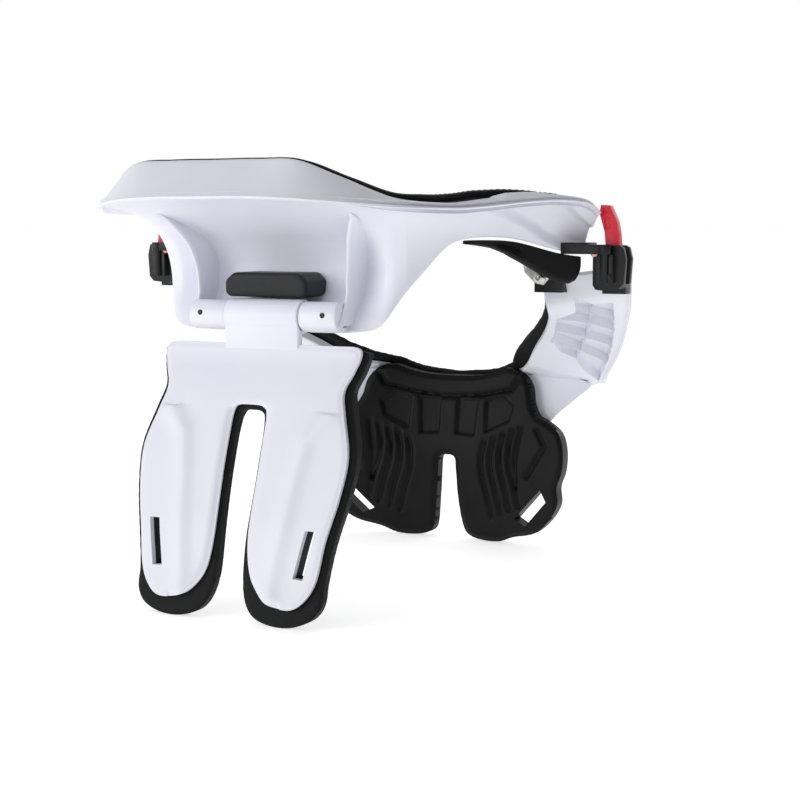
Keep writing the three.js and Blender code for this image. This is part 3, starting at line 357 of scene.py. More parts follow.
class Graph:
    """The node graph of a material or of the sky."""

    def __init__(self, owner: bpy.types.Material | bpy.types.World) -> None:
        """Empties the owner's graph."""
        owner.use_nodes = True
        self.owner = owner
        self.tree = owner.node_tree
        self.tree.nodes.clear()

    def node(
        self,
        kind: str,
        settings: dict[str, object] | None = None,
        inputs: dict[int | str, object] | None = None,
        output: int | str = 0,
    ) -> Value:
        """Adds a node.

        Args:
            kind: the node's type.
            settings: its properties, with a colour ramp's stops under "stops".
            inputs: values or links of its sockets, by name or number.
            output: the socket that is returned.

        Returns:
            The chosen output as a value, which is empty for a node without outputs.
        """
        made = self.tree.nodes.new(kind)
        for key, setting in (settings or {}).items():
            if key == "stops":
                self._stops(made.color_ramp, setting)
            else:
                setattr(made, key, setting)
        for key, value in (inputs or {}).items():
            if isinstance(value, Value):
                self.tree.links.new(value.socket, made.inputs[key])
            else:
                made.inputs[key].default_value = value
        return Value(self, made.outputs[output] if made.outputs else None)

    @staticmethod
    def _stops(ramp_data: bpy.types.ColorRamp, stops: Sequence[tuple[float, Colour]]) -> None:
        """Sets the stops of a colour ramp."""
        while len(ramp_data.elements) < len(stops):
            ramp_data.elements.new(0.5)
        for element, (position, colour) in zip(ramp_data.elements, stops):
            element.position = position
            element.color = (*colour, 1.0)

    def noise(self, place: Value, scale: float, detail: float, roughness: float) -> Value:
        """A noise pattern, whose scale is in cells per metre."""
        inputs = {"Vector": place, "Scale": scale, "Detail": detail, "Roughness": roughness}
        return self.node("ShaderNodeTexNoise", None, inputs, "Fac")

    def cells(self, place: Value, scale: float) -> Value:
        """A pattern of round cells, whose scale is in cells per metre."""
        return self.node("ShaderNodeTexVoronoi", None, {"Vector": place, "Scale": scale}, "Distance")

    def stretched(self, place: Value, scale: Triple) -> Value:
        """A place with its axes scaled, for drawn-out patterns."""
        return self.node("ShaderNodeMapping", None, {"Vector": place, "Scale": scale})

    def graded(self, factor: Value, stops: Sequence[tuple[float, Colour]]) -> Value:
        """A colour ramp on a factor."""
        return self.node("ShaderNodeValToRGB", {"stops": stops}, {"Fac": factor}, "Color")

    def eased(self, value: Value, span: Pair, ends: Pair) -> Value:
        """A smooth change from one end value to the other over a span."""
        return self.node("ShaderNodeMapRange", {"interpolation_type": "SMOOTHSTEP"}, {
            "Value": value, "From Min": span[0], "From Max": span[1], "To Min": ends[0], "To Max": ends[1],
        })

    def bump(self, height: Value, depth: float, strength: float) -> Value:
        """A normal bumped by a height, whose depth is in metres."""
        inputs = {"Strength": strength, "Distance": depth, "Height": height}
        return self.node("ShaderNodeBump", None, inputs)

    def finish(self, inputs: dict[int | str, object]) -> bpy.types.Material:
        """Ends a material in a Principled shader with these inputs."""
        shader = self.node("ShaderNodeBsdfPrincipled", None, inputs)
        self.node("ShaderNodeOutputMaterial", None, {"Surface": shader})
        return self.owner


@dataclass(frozen=True)
class Nylon:
    """Injection-moulded nylon with a spark-eroded grain, flow marks and light scuffs."""

    name: str
    pale: Colour
    deep: Colour
    roughness: float
    grain: float = 0.00004
    scuffs: float = 0.1
    specular: float = 0.5
    flow_scale: float = 28.0
    scuff_scale: float = 130.0
    scuff_stretch: Triple = (1.0, 1.0, 7.0)
    grain_scale: float = 2600.0
    dimple_scale: float = 1500.0
    grain_strength: float = 0.55

    def material(self) -> bpy.types.Material:
        """Builds the material."""
        graph = Graph(bpy.data.materials.new(self.name))
        place = graph.node("ShaderNodeTexCoord", None, None, "Object")
        flow = graph.noise(place, self.flow_scale, 4.0, 0.55)
        streaks = graph.noise(graph.stretched(place, self.scuff_stretch), self.scuff_scale, 5.0, 0.7)
        scuffed = graph.graded(streaks, [(0.56, (0.0,) * 3), (0.74, (1.0,) * 3)])
        texture = graph.noise(place, self.grain_scale, 2.0, 0.6)
        dimples = graph.cells(place, self.dimple_scale)
        roughness = self.roughness + (flow - 0.5) * 0.12 + scuffed * self.scuffs + (texture - 0.5) * 0.08
        return graph.finish({
            "Base Color": graph.graded(flow, [(0.32, self.deep), (0.68, self.pale)]),
            "Roughness": roughness,
            "Normal": graph.bump(texture * 0.7 + dimples * 0.5, self.grain, self.grain_strength),
            "Specular IOR Level": self.specular,
        })


@dataclass(frozen=True)
class Foam:
    """Moulded closed-cell foam with a fine skin, pores and rubbed patches."""

    name: str
    dark: Colour
    worn: Colour
    roughness: float = 0.62
    pore: float = 0.00018
    specular: float = 0.16
    cell_scale: float = 950.0
    skin_scale: float = 420.0
    rubbed_scale: float = 34.0
    pore_strength: float = 0.6

    def material(self) -> bpy.types.Material:
        """Builds the material."""
        graph = Graph(bpy.data.materials.new(self.name))
        place = graph.node("ShaderNodeTexCoord", None, None, "Object")
        cells = graph.cells(place, self.cell_scale)
        skin = graph.noise(place, self.skin_scale, 4.0, 0.65)
        rubbed = graph.noise(place, self.rubbed_scale, 5.0, 0.6)
        return graph.finish({
            "Base Color": graph.graded(rubbed, [(0.4, self.dark), (0.78, self.worn)]),
            "Roughness": self.roughness + (rubbed - 0.5) * 0.3 + (skin - 0.5) * 0.14,
            "Normal": graph.bump(cells * 0.8 + skin * 0.6, self.pore, self.pore_strength),
            "Specular IOR Level": self.specular,
        })


@dataclass(frozen=True)
class Metal:
    """Turned or pressed metal with fine tool marks."""

    name: str
    pale: Colour
    deep: Colour
    roughness: float
    mark_stretch: Triple = (1.0, 1.0, 14.0)
    mark_scale: float = 700.0
    mark_depth: float = 0.00003
    mark_strength: float = 0.4
    stain_scale: float = 160.0

    def material(self) -> bpy.types.Material:
        """Builds the material."""
        graph = Graph(bpy.data.materials.new(self.name))
        place = graph.node("ShaderNodeTexCoord", None, None, "Object")
        marks = graph.noise(graph.stretched(place, self.mark_stretch), self.mark_scale, 4.0, 0.6)
        stains = graph.noise(place, self.stain_scale, 3.0, 0.5)
        return graph.finish({
            "Base Color": graph.graded(stains, [(0.35, self.deep), (0.65, self.pale)]),
            "Metallic": 1.0,
            "Normal": graph.bump(marks, self.mark_depth, self.mark_strength),
            "Roughness": self.roughness + (marks - 0.5) * 0.16 + (stains - 0.5) * 0.1,
        })


class Finishes:
    """The finishes of the brace."""

    def __init__(self) -> None:
        """Builds each material once."""
        self.white = Nylon(
            "white_nylon", pale=(0.79, 0.79, 0.865), deep=(0.765, 0.77, 0.85), roughness=0.42,
        ).material()
        self.black = Nylon(
            "black_nylon", pale=(0.009, 0.0095, 0.0105), deep=(0.006, 0.0065, 0.0075), roughness=0.36,
            grain=0.00008, scuffs=0.16, specular=0.3,
        ).material()
        self.red = Nylon(
            "red_nylon", pale=(0.78, 0.008, 0.03), deep=(0.68, 0.004, 0.02), roughness=0.3,
            grain=0.00003, scuffs=0.12, specular=0.4,
        ).material()
        self.rubber = Foam(
            "black_rubber", dark=(0.008, 0.0085, 0.0095), worn=(0.016, 0.0165, 0.018), roughness=0.45,
            pore=0.00006, specular=0.24,
        ).material()
        self.skin = Foam(
            "foam_skin", dark=(0.003, 0.0032, 0.0036), worn=(0.0065, 0.0067, 0.0075), roughness=0.42,
            pore=0.00008, specular=0.13,
        ).material()
        self.foam = Foam("foam", dark=(0.0055, 0.0058, 0.0064), worn=(0.012, 0.0125, 0.0135)).material()
        self.steel = Metal("steel", (0.66, 0.65, 0.62), (0.5, 0.49, 0.46), 0.26).material()
        self.plate = Metal("bracket_steel", (0.72, 0.72, 0.71), (0.6, 0.6, 0.6), 0.38).material()
        self.rivet = Metal("rivet_copper", (0.62, 0.3, 0.2), (0.4, 0.18, 0.12), 0.32).material()


class Mesh:
    """One piece's mesh while it is shaped with bmesh operators, in millimetres."""

    def __init__(self) -> None:
        """Starts an empty mesh."""
        self.bm = bmesh.new()

    def block(self, low: Sequence[float], high: Sequence[float]) -> None:
        """Adds a box between two corners."""
        middle = (Vector(low) + Vector(high)) / 2
        size = Vector(high) - Vector(low)
        matrix = Matrix.Translation(middle) @ Matrix.Diagonal((*size, 1.0))
        bmesh.ops.create_cube(self.bm, size=1.0, matrix=matrix)

    def rod(self, start: Sequence[float], end: Sequence[float], radius: float, sides: int) -> None:
        """Adds a round rod between two points."""
        a, b = Vector(start), Vector(end)
        turn = (b - a).to_track_quat("Z", "Y").to_matrix().to_4x4()
        bmesh.ops.create_cone(
            self.bm, cap_ends=True, segments=sides, radius1=radius, radius2=radius,
            depth=(b - a).length, matrix=Matrix.Translation((a + b) / 2) @ turn,
        )

    def prism(self, outline: Sequence[Pair], y0: float, y1: float) -> None:
        """Adds an outline of x and z, extruded along Y."""
        corners = [self.bm.verts.new((x, y0, z)) for x, z in outline]
        face = self.bm.faces.new(corners)
        grown = bmesh.ops.extrude_face_region(self.bm, geom=[face], use_keep_orig=True)["geom"]
        moved = [g for g in grown if isinstance(g, bmesh.types.BMVert)]
        bmesh.ops.translate(self.bm, verts=moved, vec=(0.0, y1 - y0, 0.0))
        bmesh.ops.recalc_face_normals(self.bm, faces=self.bm.faces[:])

    def rounded(self, width: float, segments: int, angle: float) -> None:
        """Bevels the edges where faces meet at more than an angle."""
        limit = math.radians(angle)
        edges = [e for e in self.bm.edges if len(e.link_faces) == 2 and e.calc_face_angle(0.0) > limit]
        bmesh.ops.bevel(
            self.bm, geom=edges, offset=width, offset_type="OFFSET", segments=segments, affect="EDGES",
            profile=0.5, material=-1, clamp_overlap=True,
        )

    def piece(self, name: str, material: bpy.types.Material, crease: float = CREASE) -> bpy.types.Object:
        """Closes the mesh and makes it an object in metres.

        Args:
            name: the object's name.
            material: its finish.
            crease: the angle in degrees past which an edge stays sharp.

        Returns:
            The object, at the origin.
        """
        bmesh.ops.remove_doubles(self.bm, verts=self.bm.verts[:], dist=MERGE)
        bmesh.ops.recalc_face_normals(self.bm, faces=self.bm.faces[:])
        bmesh.ops.scale(self.bm, verts=self.bm.verts[:], vec=(MM, MM, MM))
        data = bpy.data.meshes.new(name)
        self.bm.to_mesh(data)
        self.bm.free()
        made = bpy.data.objects.new(name, data)
        bpy.context.scene.collection.objects.link(made)
        data.materials.append(material)
        shade(made, crease)
        return made


def shade(piece: bpy.types.Object, crease: float = CREASE) -> None:
    """Shades a piece smooth, with edges sharp past an angle in degrees."""
    piece.data.shade_smooth()
    piece.data.set_sharp_from_angle(angle=math.radians(crease))


def dress(node: bpy.types.Object, material: bpy.types.Material) -> None:
    """Gives a carried-over node its finish."""
    node.data.materials.clear()
    node.data.materials.append(material)


def settled(piece: bpy.types.Object, crease: float = CREASE) -> None:
    """Applies a piece's modifiers to its mesh."""
    graph = bpy.context.evaluated_depsgraph_get()
    data = bpy.data.meshes.new_from_object(piece.evaluated_get(graph))
    piece.modifiers.clear()
    piece.data = data
    shade(piece, crease)


def cut(piece: bpy.types.Object, cutter: Mesh, operation: str = "DIFFERENCE") -> None:
    """Cuts a piece with a closed mesh."""
    tool = cutter.piece("cutter", piece.data.materials[0])
    modifier = piece.modifiers.new("cut", "BOOLEAN")
    modifier.operation = operation
    modifier.solver = "EXACT"
    modifier.object = tool
    settled(piece)
    bpy.data.objects.remove(tool)


def trimmed(
    piece: bpy.types.Object, outline: Sequence[Pair], span: Pair, hole: Sequence[Pair] = (),
) -> None:
    """Trims a piece to an outline of x and z, and cuts a hole on each side.

    Args:
        piece: the piece.
        outline: the outline that stays.
        span: where the cutters start and end along Y.
        hole: the outline of the right side's hole.
    """
    rim = Mesh()
    rim.prism(outline, *span)
    cut(piece, rim, "INTERSECT")
    for side in Side if hole else ():
        room = Mesh()
        room.prism([(side.value * x, z) for x, z in hole], *span)
        cut(piece, room)


def in_millimetres(data: bpy.types.Mesh) -> Mesh:
    """A copy of a finished mesh, back in millimetres."""
    mesh = Mesh()
    mesh.bm.from_mesh(data)
    bmesh.ops.scale(mesh.bm, verts=mesh.bm.verts[:], vec=(1 / MM,) * 3)
    return mesh


def from_node(node: bpy.types.Object) -> Mesh:
    """A merged copy of a CAD node's mesh, in millimetres, with its flat faces whole."""
    mesh = in_millimetres(node.data)
    bmesh.ops.remove_doubles(mesh.bm, verts=mesh.bm.verts[:], dist=MERGE)
    bmesh.ops.dissolve_limit(
        mesh.bm, angle_limit=math.radians(1.0), verts=mesh.bm.verts[:], edges=mesh.bm.edges[:],
    )
    return mesh


def swollen(piece: bpy.types.Object, voxel: float, passes: int) -> None:
    """Remeshes a closed piece into even cells and rounds its edges, as moulded foam has them.

    Args:
        piece: a closed mesh.
        voxel: the cell in millimetres.
        passes: how many times its points are smoothed.
    """
    modifier = piece.modifiers.new("cells", "REMESH")
    modifier.mode = "VOXEL"
    modifier.voxel_size = voxel * MM
    modifier.use_smooth_shade = True
    settled(piece, 180.0)
    bm = bmesh.new()
    bm.from_mesh(piece.data)
    for _ in range(passes):
        bmesh.ops.smooth_vert(
            bm, verts=bm.verts[:], factor=0.5, use_axis_x=True, use_axis_y=True, use_axis_z=True,
        )
    bm.to_mesh(piece.data)
    bm.free()


def grafted(piece: bpy.types.Object, extra: Mesh) -> None:
    """Adds a closed mesh in millimetres to a piece."""
    bmesh.ops.scale(extra.bm, verts=extra.bm.verts[:], vec=(MM, MM, MM))
    bmesh.ops.recalc_face_normals(extra.bm, faces=extra.bm.faces[:])
    extra.bm.from_mesh(piece.data)
    extra.bm.to_mesh(piece.data)
    extra.bm.free()
    piece.data.update()
    shade(piece)


def polyline_distance(x: np.ndarray, z: np.ndarray, line: Sequence[Pair]) -> np.ndarray:
    """The distance from each point of two arrays to a polyline."""
    best = np.full(x.shape, np.inf)
    for (x0, z0), (x1, z1) in zip(line, line[1:]):
        dx, dz = x1 - x0, z1 - z0
        share = np.clip(((x - x0) * dx + (z - z0) * dz) / (dx * dx + dz * dz), 0.0, 1.0)
        best = np.minimum(best, np.hypot(x - x0 - share * dx, z - z0 - share * dz))
    return best


def enclosed(x: np.ndarray, z: np.ndarray, outline: Sequence[Pair]) -> np.ndarray:
    """Whether each point of two arrays lies inside a closed outline."""
    found = np.zeros(x.shape, dtype=bool)
    for (x0, z0), (x1, z1) in zip(outline, [*outline[1:], outline[0]]):
        if z0 != z1:
            crossing = (z0 > z) != (z1 > z)
            found ^= crossing & (x < (x1 - x0) * (z - z0) / (z1 - z0) + x0)
    return found


def ramps(low: float, high: float, value: np.ndarray) -> np.ndarray:
    """The smooth ramp of each value of an array."""
    t = np.clip((value - low) / (high - low), 0.0, 1.0)
    return t * t * (3 - 2 * t)


def fade(width: float, distance: np.ndarray) -> np.ndarray:
    """1 at a border, falling smoothly to 0 at a width from it."""
    return 1 - ramps(0.0, width, distance)


def band(rise: Pair, fall: Pair, value: np.ndarray) -> np.ndarray:
    """1 between a rising and a falling ramp, 0 outside them."""
    return ramps(*rise, value) * (1 - ramps(*fall, value))


def closed(outline: Sequence[Pair]) -> list[Pair]:
    """An outline with its first point again at its end."""
    return [*outline, outline[0]]


def through(points: Sequence[Vector], t: float) -> Vector:
    """The point a share of the way from the second to the third of four points on a smooth curve."""
    p0, p1, p2, p3 = points
    return 0.5 * (
        2 * p1 + (p2 - p0) * t + (2 * p0 - 5 * p1 + 4 * p2 - p3) * t * t
        + (3 * p1 - p0 - 3 * p2 + p3) * t**3
    )


def fluent(outline: Sequence[Pair], steps: int) -> list[Pair]:
    """A closed outline rounded through its points."""
    count = len(outline)
    made = []
    for i in range(count):
        near = [Vector(outline[(i + k - 1) % count]) for k in range(4)]
        made.extend(tuple(through(near, step / steps)) for step in range(steps))
    return made


def mirrored_outline(half: Sequence[Pair]) -> list[Pair]:
    """A whole outline from its right half, which starts and ends at the middle."""
    return [*half, *[(-x, z) for x, z in reversed(half) if abs(x) > 1e-6]]


@dataclass
class Sheet:
    """A thin closed solid on both sides of a face.

    Rows and columns are the face's two coordinates. Rise and thickness say how far the solid
    reaches along the face's normal and against it. The columns in soften are evened along
    the columns this many rounds, which rounds a bend.
    """

    rows: Sequence[float]
    columns: Sequence[float]
    face: Callable[[float, float], Vector]
    rise: Callable[[np.ndarray, np.ndarray], np.ndarray | float]
    thickness: Callable[[np.ndarray, np.ndarray], np.ndarray | float]
    flip: bool = False
    soften: Sequence[int] = ()
    rounds: int = 3

    def mesh(self) -> Mesh:
        """Builds the solid: the outer layer above the face, the inner one below it."""
        points = np.array([[self.face(r, c)[:] for c in self.columns] for r in self.rows])
        for _ in range(self.rounds):
            for column in self.soften:
                points[:, column] = (
                    points[:, column - 1] + 2 * points[:, column] + points[:, column + 1]
                ) / 4
        along = np.gradient(points, axis=0)
        across = np.gradient(points, axis=1)
        normals = np.cross(along, across)
        normals /= np.maximum(np.linalg.norm(normals, axis=2, keepdims=True), 1e-9)
        if self.flip:
            normals = -normals
        u, v = np.meshgrid(np.array(self.rows), np.array(self.columns), indexing="ij")
        rise = np.broadcast_to(np.asarray(self.rise(u, v), dtype=float), u.shape)[..., None]
        depth = np.broadcast_to(np.asarray(self.thickness(u, v), dtype=float), u.shape)[..., None]
        layers = (points - normals * depth, points + normals * rise)
        return self._solid(layers)

    def _solid(self, layers: tuple[np.ndarray, np.ndarray]) -> Mesh:
        """A flat grid, thickened by extrusion and then laid on the two layers."""
        mesh = Mesh()
        rows, columns = len(self.rows) - 1, len(self.columns) - 1
        bmesh.ops.create_grid(mesh.bm, x_segments=rows, y_segments=columns, size=0.5)
        grown = bmesh.ops.extrude_face_region(mesh.bm, geom=mesh.bm.faces[:], use_keep_orig=True)["geom"]
        raised = [g for g in grown if isinstance(g, bmesh.types.BMVert)]
        bmesh.ops.translate(mesh.bm, verts=raised, vec=(0.0, 0.0, 1.0))
        for vert in mesh.bm.verts:
            i = round((vert.co.x + 0.5) * rows)
            j = round((vert.co.y + 0.5) * columns)
            vert.co = layers[1 if vert.co.z > 0.5 else 0][i, j]
        bmesh.ops.recalc_face_normals(mesh.bm, faces=mesh.bm.faces[:])
        return mesh


def spread(first: float, last: float, count: int) -> list[float]:
    """Values spread evenly from first to last, with count steps."""
    return [lerp(first, last, i / count) for i in range(count + 1)]


@dataclass
class Brace:
    """What the pieces share: the frame's nodes, the finishes, the surfaces and the hinge."""

    nodes: dict[str, bpy.types.Object]
    finishes: Finishes
    shift: float
    rear: RearSurface
    front: FrontSurface
    hinge_z: float = 148.0

    def settle(
        self, piece: bpy.types.Object, body: Body, slot: Slot, *replaced: str, fill: float | None = None,
    ) -> None:
        """Gives a piece its body and takes the place of CAD nodes.

        Args:
            piece: the piece.
            body: the body that it rides.
            slot: its material slot; not used.
            replaced: the names of the CAD nodes in its place.
            fill: how full the foam is, for padding; not used.
        """
        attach(piece, body.value)
        if replaced:
            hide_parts(*replaced)
        LOG.info("%s: %d faces on %s", piece.name, len(piece.data.polygons), body.value)


@dataclass
class RearShell:
    """The moulded rear shell: upper panel, lip, wall with a recess, ribs and hinge knuckles."""

    brace: Brace
    rows: int = 330
    wall: float = 2.8
    bead: float = 0.7
    bead_share: float = 0.01
    bead_half: float = 0.045
    top_roll: float = 0.9
    edge_roll: float = 0.8
    top_roll_share: float = 0.05
    foot_roll_share: float = 0.03
    facet_depth: float = 4.6
    facet_slope: float = 8.0
    place_scale: float = 22.0
    share_scale: float = 62.0
    rib_rise: float = 20.0
    rib_root: float = 1.6
    rib_half: float = 1.25
    rib_foot: float = 1.1
    rib_foot_share: float = 0.22
    rib_taper: float = 0.25
    rib_crest_share: float = 0.07
    barrel_half: float = 21.8
    barrel_radius: float = 9.0
    barrel_room: float = 40.0
    barrel_drop: float = 14.0
    knuckle_end: float = 43.0
    knuckle_radius: float = 7.6
    knuckle_bevel: float = 0.9
    web_drop: float = 6.0
    web_reach: float = 9.0
    shelf_drop: float = 1.0
    shelf_reach: float = 15.0
    shelf_rise: float = 6.84
    screw_x: float = 36.0
    screw_lift: float = 1.2
    screw_radius: float = 1.35
    screw_proud: float = 0.12
    screw_depth: float = 0.6
    panel: tuple[float, ...] = (
        -1.0, -0.97, -0.92, -0.84, -0.74, -0.62, -0.5, -0.38, -0.28, -0.2, -0.14, -0.09, -0.05, -0.02,
    )
    lip: tuple[float, ...] = (0.0, 0.006, 0.014, 0.024, 0.036, 0.05, 0.066, 0.084)
    crest: tuple[float, ...] = (0.93, 0.955, 0.975, 0.988, 0.996, 1.0)
    facet: tuple[Pair, ...] = (
        (6.8, 0.238), (7.5, 0.05), (8.2, 0.05), (9.35, 0.12), (10.1, 0.3), (11.3, 0.42), (11.3, 0.9),
        (9.9, 0.97), (9.525, 0.913), (9.05, 0.788), (8.375, 0.65), (7.65, 0.475),
    )
    rib: tuple[Triple, ...] = (
        (2.5, 0.35, 0.05), (2.42, 0.43, 0.22), (2.3, 0.52, 0.55), (2.12, 0.62, 0.87),
        (2.0, 0.72, 1.0), (1.93, 0.82, 0.9), (1.92, 0.92, 0.66), (1.92, 0.985, 0.5),
    )

    def build(self) -> None:
        """Builds and dresses the shell and the hinge pin."""
        columns = [*self.panel, *self.lip, *spread(0.104, 1.0, 42)]
        bend = len(self.panel)
        last = self.brace.rear.last
        sheet = Sheet(
            spread(-last, last, self.rows), columns, self._face, self._rise, self._thickness,
            flip=True, soften=range(bend - 4, bend + 6), rounds=5,
        )
        shell = sheet.mesh().piece("RearShell", self.brace.finishes.white)
        cut(shell, self._barrel_room())
        for side in Side:
            grafted(shell, self._fin(side))
            grafted(shell, self._knuckle(side))
        self.brace.settle(shell, Body.REAR, Slot.WHITE, "rear_shell")
        for side in Side:
            self._set_screw(side)
        dress(self.brace.nodes["hinge_pin"], self.brace.finishes.steel)

    def _face(self, place: float, share: float) -> Vector:
        """The outer face: shares under 0 are on the panel above the lip."""
        surface = self.brace.rear
        if share < 0:
            return surface.lip.at(place).lerp(surface.top.at(place), -share)
        return surface.wall(place, share)

    def _rise(self, place: np.ndarray, share: np.ndarray) -> np.ndarray:
        """The bead along the lip, the rolled borders and the shoulder facets."""
        bead = self.bead * np.exp(-((share - self.bead_share) / self.bead_half) ** 2)
        return bead - self._hollow(place, share) - self._roll(share, self.top_roll)

    def _roll(self, share: np.ndarray, top_roll: float) -> np.ndarray:
        """How far a face is rolled in near the upper and the lower border."""
        top = top_roll * fade(self.top_roll_share, share + 1.0)
        return top + self.edge_roll * fade(self.foot_roll_share, 1.0 - share)

    def _hollow(self, place: np.ndarray, share: np.ndarray) -> np.ndarray:
        """How deep the hollow facet of a shoulder lies."""
        outline = [(p * self.place_scale, s * self.share_scale) for p, s in self.facet]
        x, z = np.abs(place) * self.place_scale, share * self.share_scale
        within = np.where(enclosed(x, z, outline), polyline_distance(x, z, closed(outline)), 0.0)
        return self.facet_depth * ramps(0.0, self.facet_slope, within)

    def _thickness(self, place: np.ndarray, share: np.ndarray) -> np.ndarray:
        """The wall's thickness below the face, thinner at its rims and deeper under the facets."""
        return self.wall - self._roll(share, self.edge_roll) + self._hollow(place, share)

    def _barrel_room(self) -> Mesh:
        """The room for the strut's barrel."""
        room = Mesh()
        y, z, half = self.brace.rear.hinge_y, self.brace.hinge_z, self.barrel_half
        room.rod((-half, y, z), (half, y, z), self.barrel_radius, 48)
        room.block((-half, y - self.barrel_room, z - self.barrel_drop), (half, y + self.barrel_room, z))
        return room

    def _fin(self, side: Side) -> Mesh:
        """One rib beside the recess, which stands straight out to the back."""
        rows = spread(0.0, float(len(self.rib) - 1), 48)

        def face(row: float, share: float) -> Vector:
            """The rib's middle plane, from its root to its crest."""
            at, down, rise = (table_value([r[k] for r in self.rib], row) for k in range(3))
            base = self.brace.rear.wall(side.value * at, down)
            return base + Vector((0.0, lerp(self.rib_root, -rise * self.rib_rise, share), 0.0))

        def half(row: np.ndarray, share: np.ndarray) -> np.ndarray:
            """Half the rib's thickness, wide at its foot and round at its crest."""
            foot = self.rib_foot * fade(self.rib_foot_share, share)
            crest = np.sqrt(np.clip((1.001 - share) / self.rib_crest_share, 0.0, 1.0))
            return (self.rib_half + foot - self.rib_taper * share) * crest + 0.02

        return Sheet(rows, [*spread(0.0, 0.9, 14), *self.crest], face, half, half).mesh()

    def _knuckle(self, side: Side) -> Mesh:
        """One hinge knuckle with its web below and its shelf above."""
        mesh = Mesh()
        low, high = sorted((side.value * self.barrel_half, side.value * self.knuckle_end))
        y, z = self.brace.rear.hinge_y, self.brace.hinge_z
        mesh.rod((low, y, z), (high, y, z), self.knuckle_radius, 56)
        mesh.block((low, y, z - self.web_drop), (high, y + self.web_reach, z))
        mesh.block((low, y, z - self.shelf_drop), (high, y + self.shelf_reach, z + self.shelf_rise))
        mesh.rounded(self.knuckle_bevel, 3, 50.0)
        return mesh

    def _set_screw(self, side: Side) -> None:
        """One set screw of the hinge pin, which sits deep in its hole on the real brace. No hole is cut
        here: a black disc just proud of the knuckle gives the screw's own black and painted shade for the
        dark of its hole.
        """
        mesh = Mesh()
        x, y = side.value * self.screw_x, self.brace.rear.hinge_y - self.knuckle_radius
        z = self.brace.hinge_z + self.screw_lift
        mesh.rod((x, y - self.screw_proud, z), (x, y + self.screw_depth, z), self.screw_radius, 24)
        # painted shade: this black disc stands for the dark of the screw's hole as well as the black screw
        # itself
        plug = mesh.piece(f"SetScrewHole{side.label}", self.brace.finishes.black)
        self.brace.settle(plug, Body.REAR, Slot.BLACK)


@dataclass
class RearPadding:
    """The black padding of the rear half."""

    brace: Brace
    rows: int = 440
    pad: float = 4.0
    neck_rim: float = 12.0
    setback: float = 4.1
    crown: float = 1.5
    tooth_height: float = 0.14
    tooth_rate: float = 34.0
    tooth_strip: tuple[Pair, Pair] = ((0.05, 0.12), (0.5, 0.56))
    tooth_shoulder: tuple[Pair, Pair] = ((5.2, 5.6), (9.6, 10.0))
    end_share: float = 0.14
    top_share: float = 0.16
    foot_share: float = 0.2
    cell: float = 1.0
    knuckle_room: tuple[Triple, Triple] = ((-52.0, -16.0, 130.0), (52.0, 12.4, 157.2))

    def build(self) -> None:
        """Builds the collar pad and the lower pad."""
        self._collar()
        self._lower()

    def _collar_face(self, place: float, share: float) -> Vector:
        """The pad's upper face: from the panel's top edge over the rim and down."""
        surface = self.brace.rear
        inward = surface.neckward(place)
        top = surface.top.at(place) + self.setback * inward
        top.z += surface.value("raised", place) * self.pad
        foot, lip = surface.foot.at(place), surface.lip.at(place)
        rim = foot + self.neck_rim * inward
        rim.z = lerp(foot.z, lip.z, surface.value("rim", place)) + self.pad
        middle = top.lerp(rim, 0.5)
        middle.z += self.crown
        rolled = rim.copy()
        rolled.z -= 2 * self.pad
        points = [2 * top - middle, top, middle, rim, rolled, 2 * rolled - rim]
        index = min(int(share), 2)
        return through(points[index:index + 4], share - index)

    def _collar(self) -> None:
        """The padding on top of the rear half, with a fine toothed strip on each shoulder."""
        last = self.brace.rear.last

        def rolled(place: np.ndarray, share: np.ndarray, end: float, top: float, foot: float) -> np.ndarray:
            """How far a face is rolled in at the pad's ends and at its two long borders."""
            ends = end * fade(self.end_share, last - np.abs(place))
            return ends + top * fade(self.top_share, share) + foot * fade(self.foot_share, 3.0 - share)

        def rise(place: np.ndarray, share: np.ndarray) -> np.ndarray:
            """The toothed strip and the upper face's rolled borders."""
            side = np.abs(place)
            strip = band(*self.tooth_strip, share) * band(*self.tooth_shoulder, side)
            teeth = self.tooth_height * np.sin(side * self.tooth_rate) * strip
            return teeth - rolled(place, share, 1.6, 1.4, 1.2)

        def thickness(place: np.ndarray, share: np.ndarray) -> np.ndarray:
            """The pad's thickness, less the lower face's rolled borders."""
            return self.pad - rolled(place, share, 1.4, 1.2, 1.4)

        columns = [0.0, 0.03, 0.08, 0.16, *spread(0.24, 2.76, 26), 2.84, 2.92, 2.97, 3.0]
        sheet = Sheet(spread(-last, last, self.rows), columns, self._collar_face, rise, thickness)
        pad = sheet.mesh().piece("RearCollarPad", self.brace.finishes.foam, 60.0)
        self.brace.settle(pad, Body.REAR, Slot.FOAM, "rear_collar_pad", fill=1.0)

    def _lower(self) -> None:
        """The padding in front of the rear shell's lower wall, cut clear of the knuckles."""
        node = self.brace.nodes["rear_lower_pad"]
        pad = from_node(node).piece("RearLowerPad", self.brace.finishes.foam)
        swollen(pad, self.cell, 8)
        foot = Vector((0.0, self.brace.rear.foot.at(0).y, 0.0))
        room = Mesh()
        room.block(*(foot + Vector(corner) for corner in self.knuckle_room))
        cut(pad, room)
        self.brace.settle(pad, Body.REAR, Slot.FOAM, "rear_lower_pad", fill=1.0)


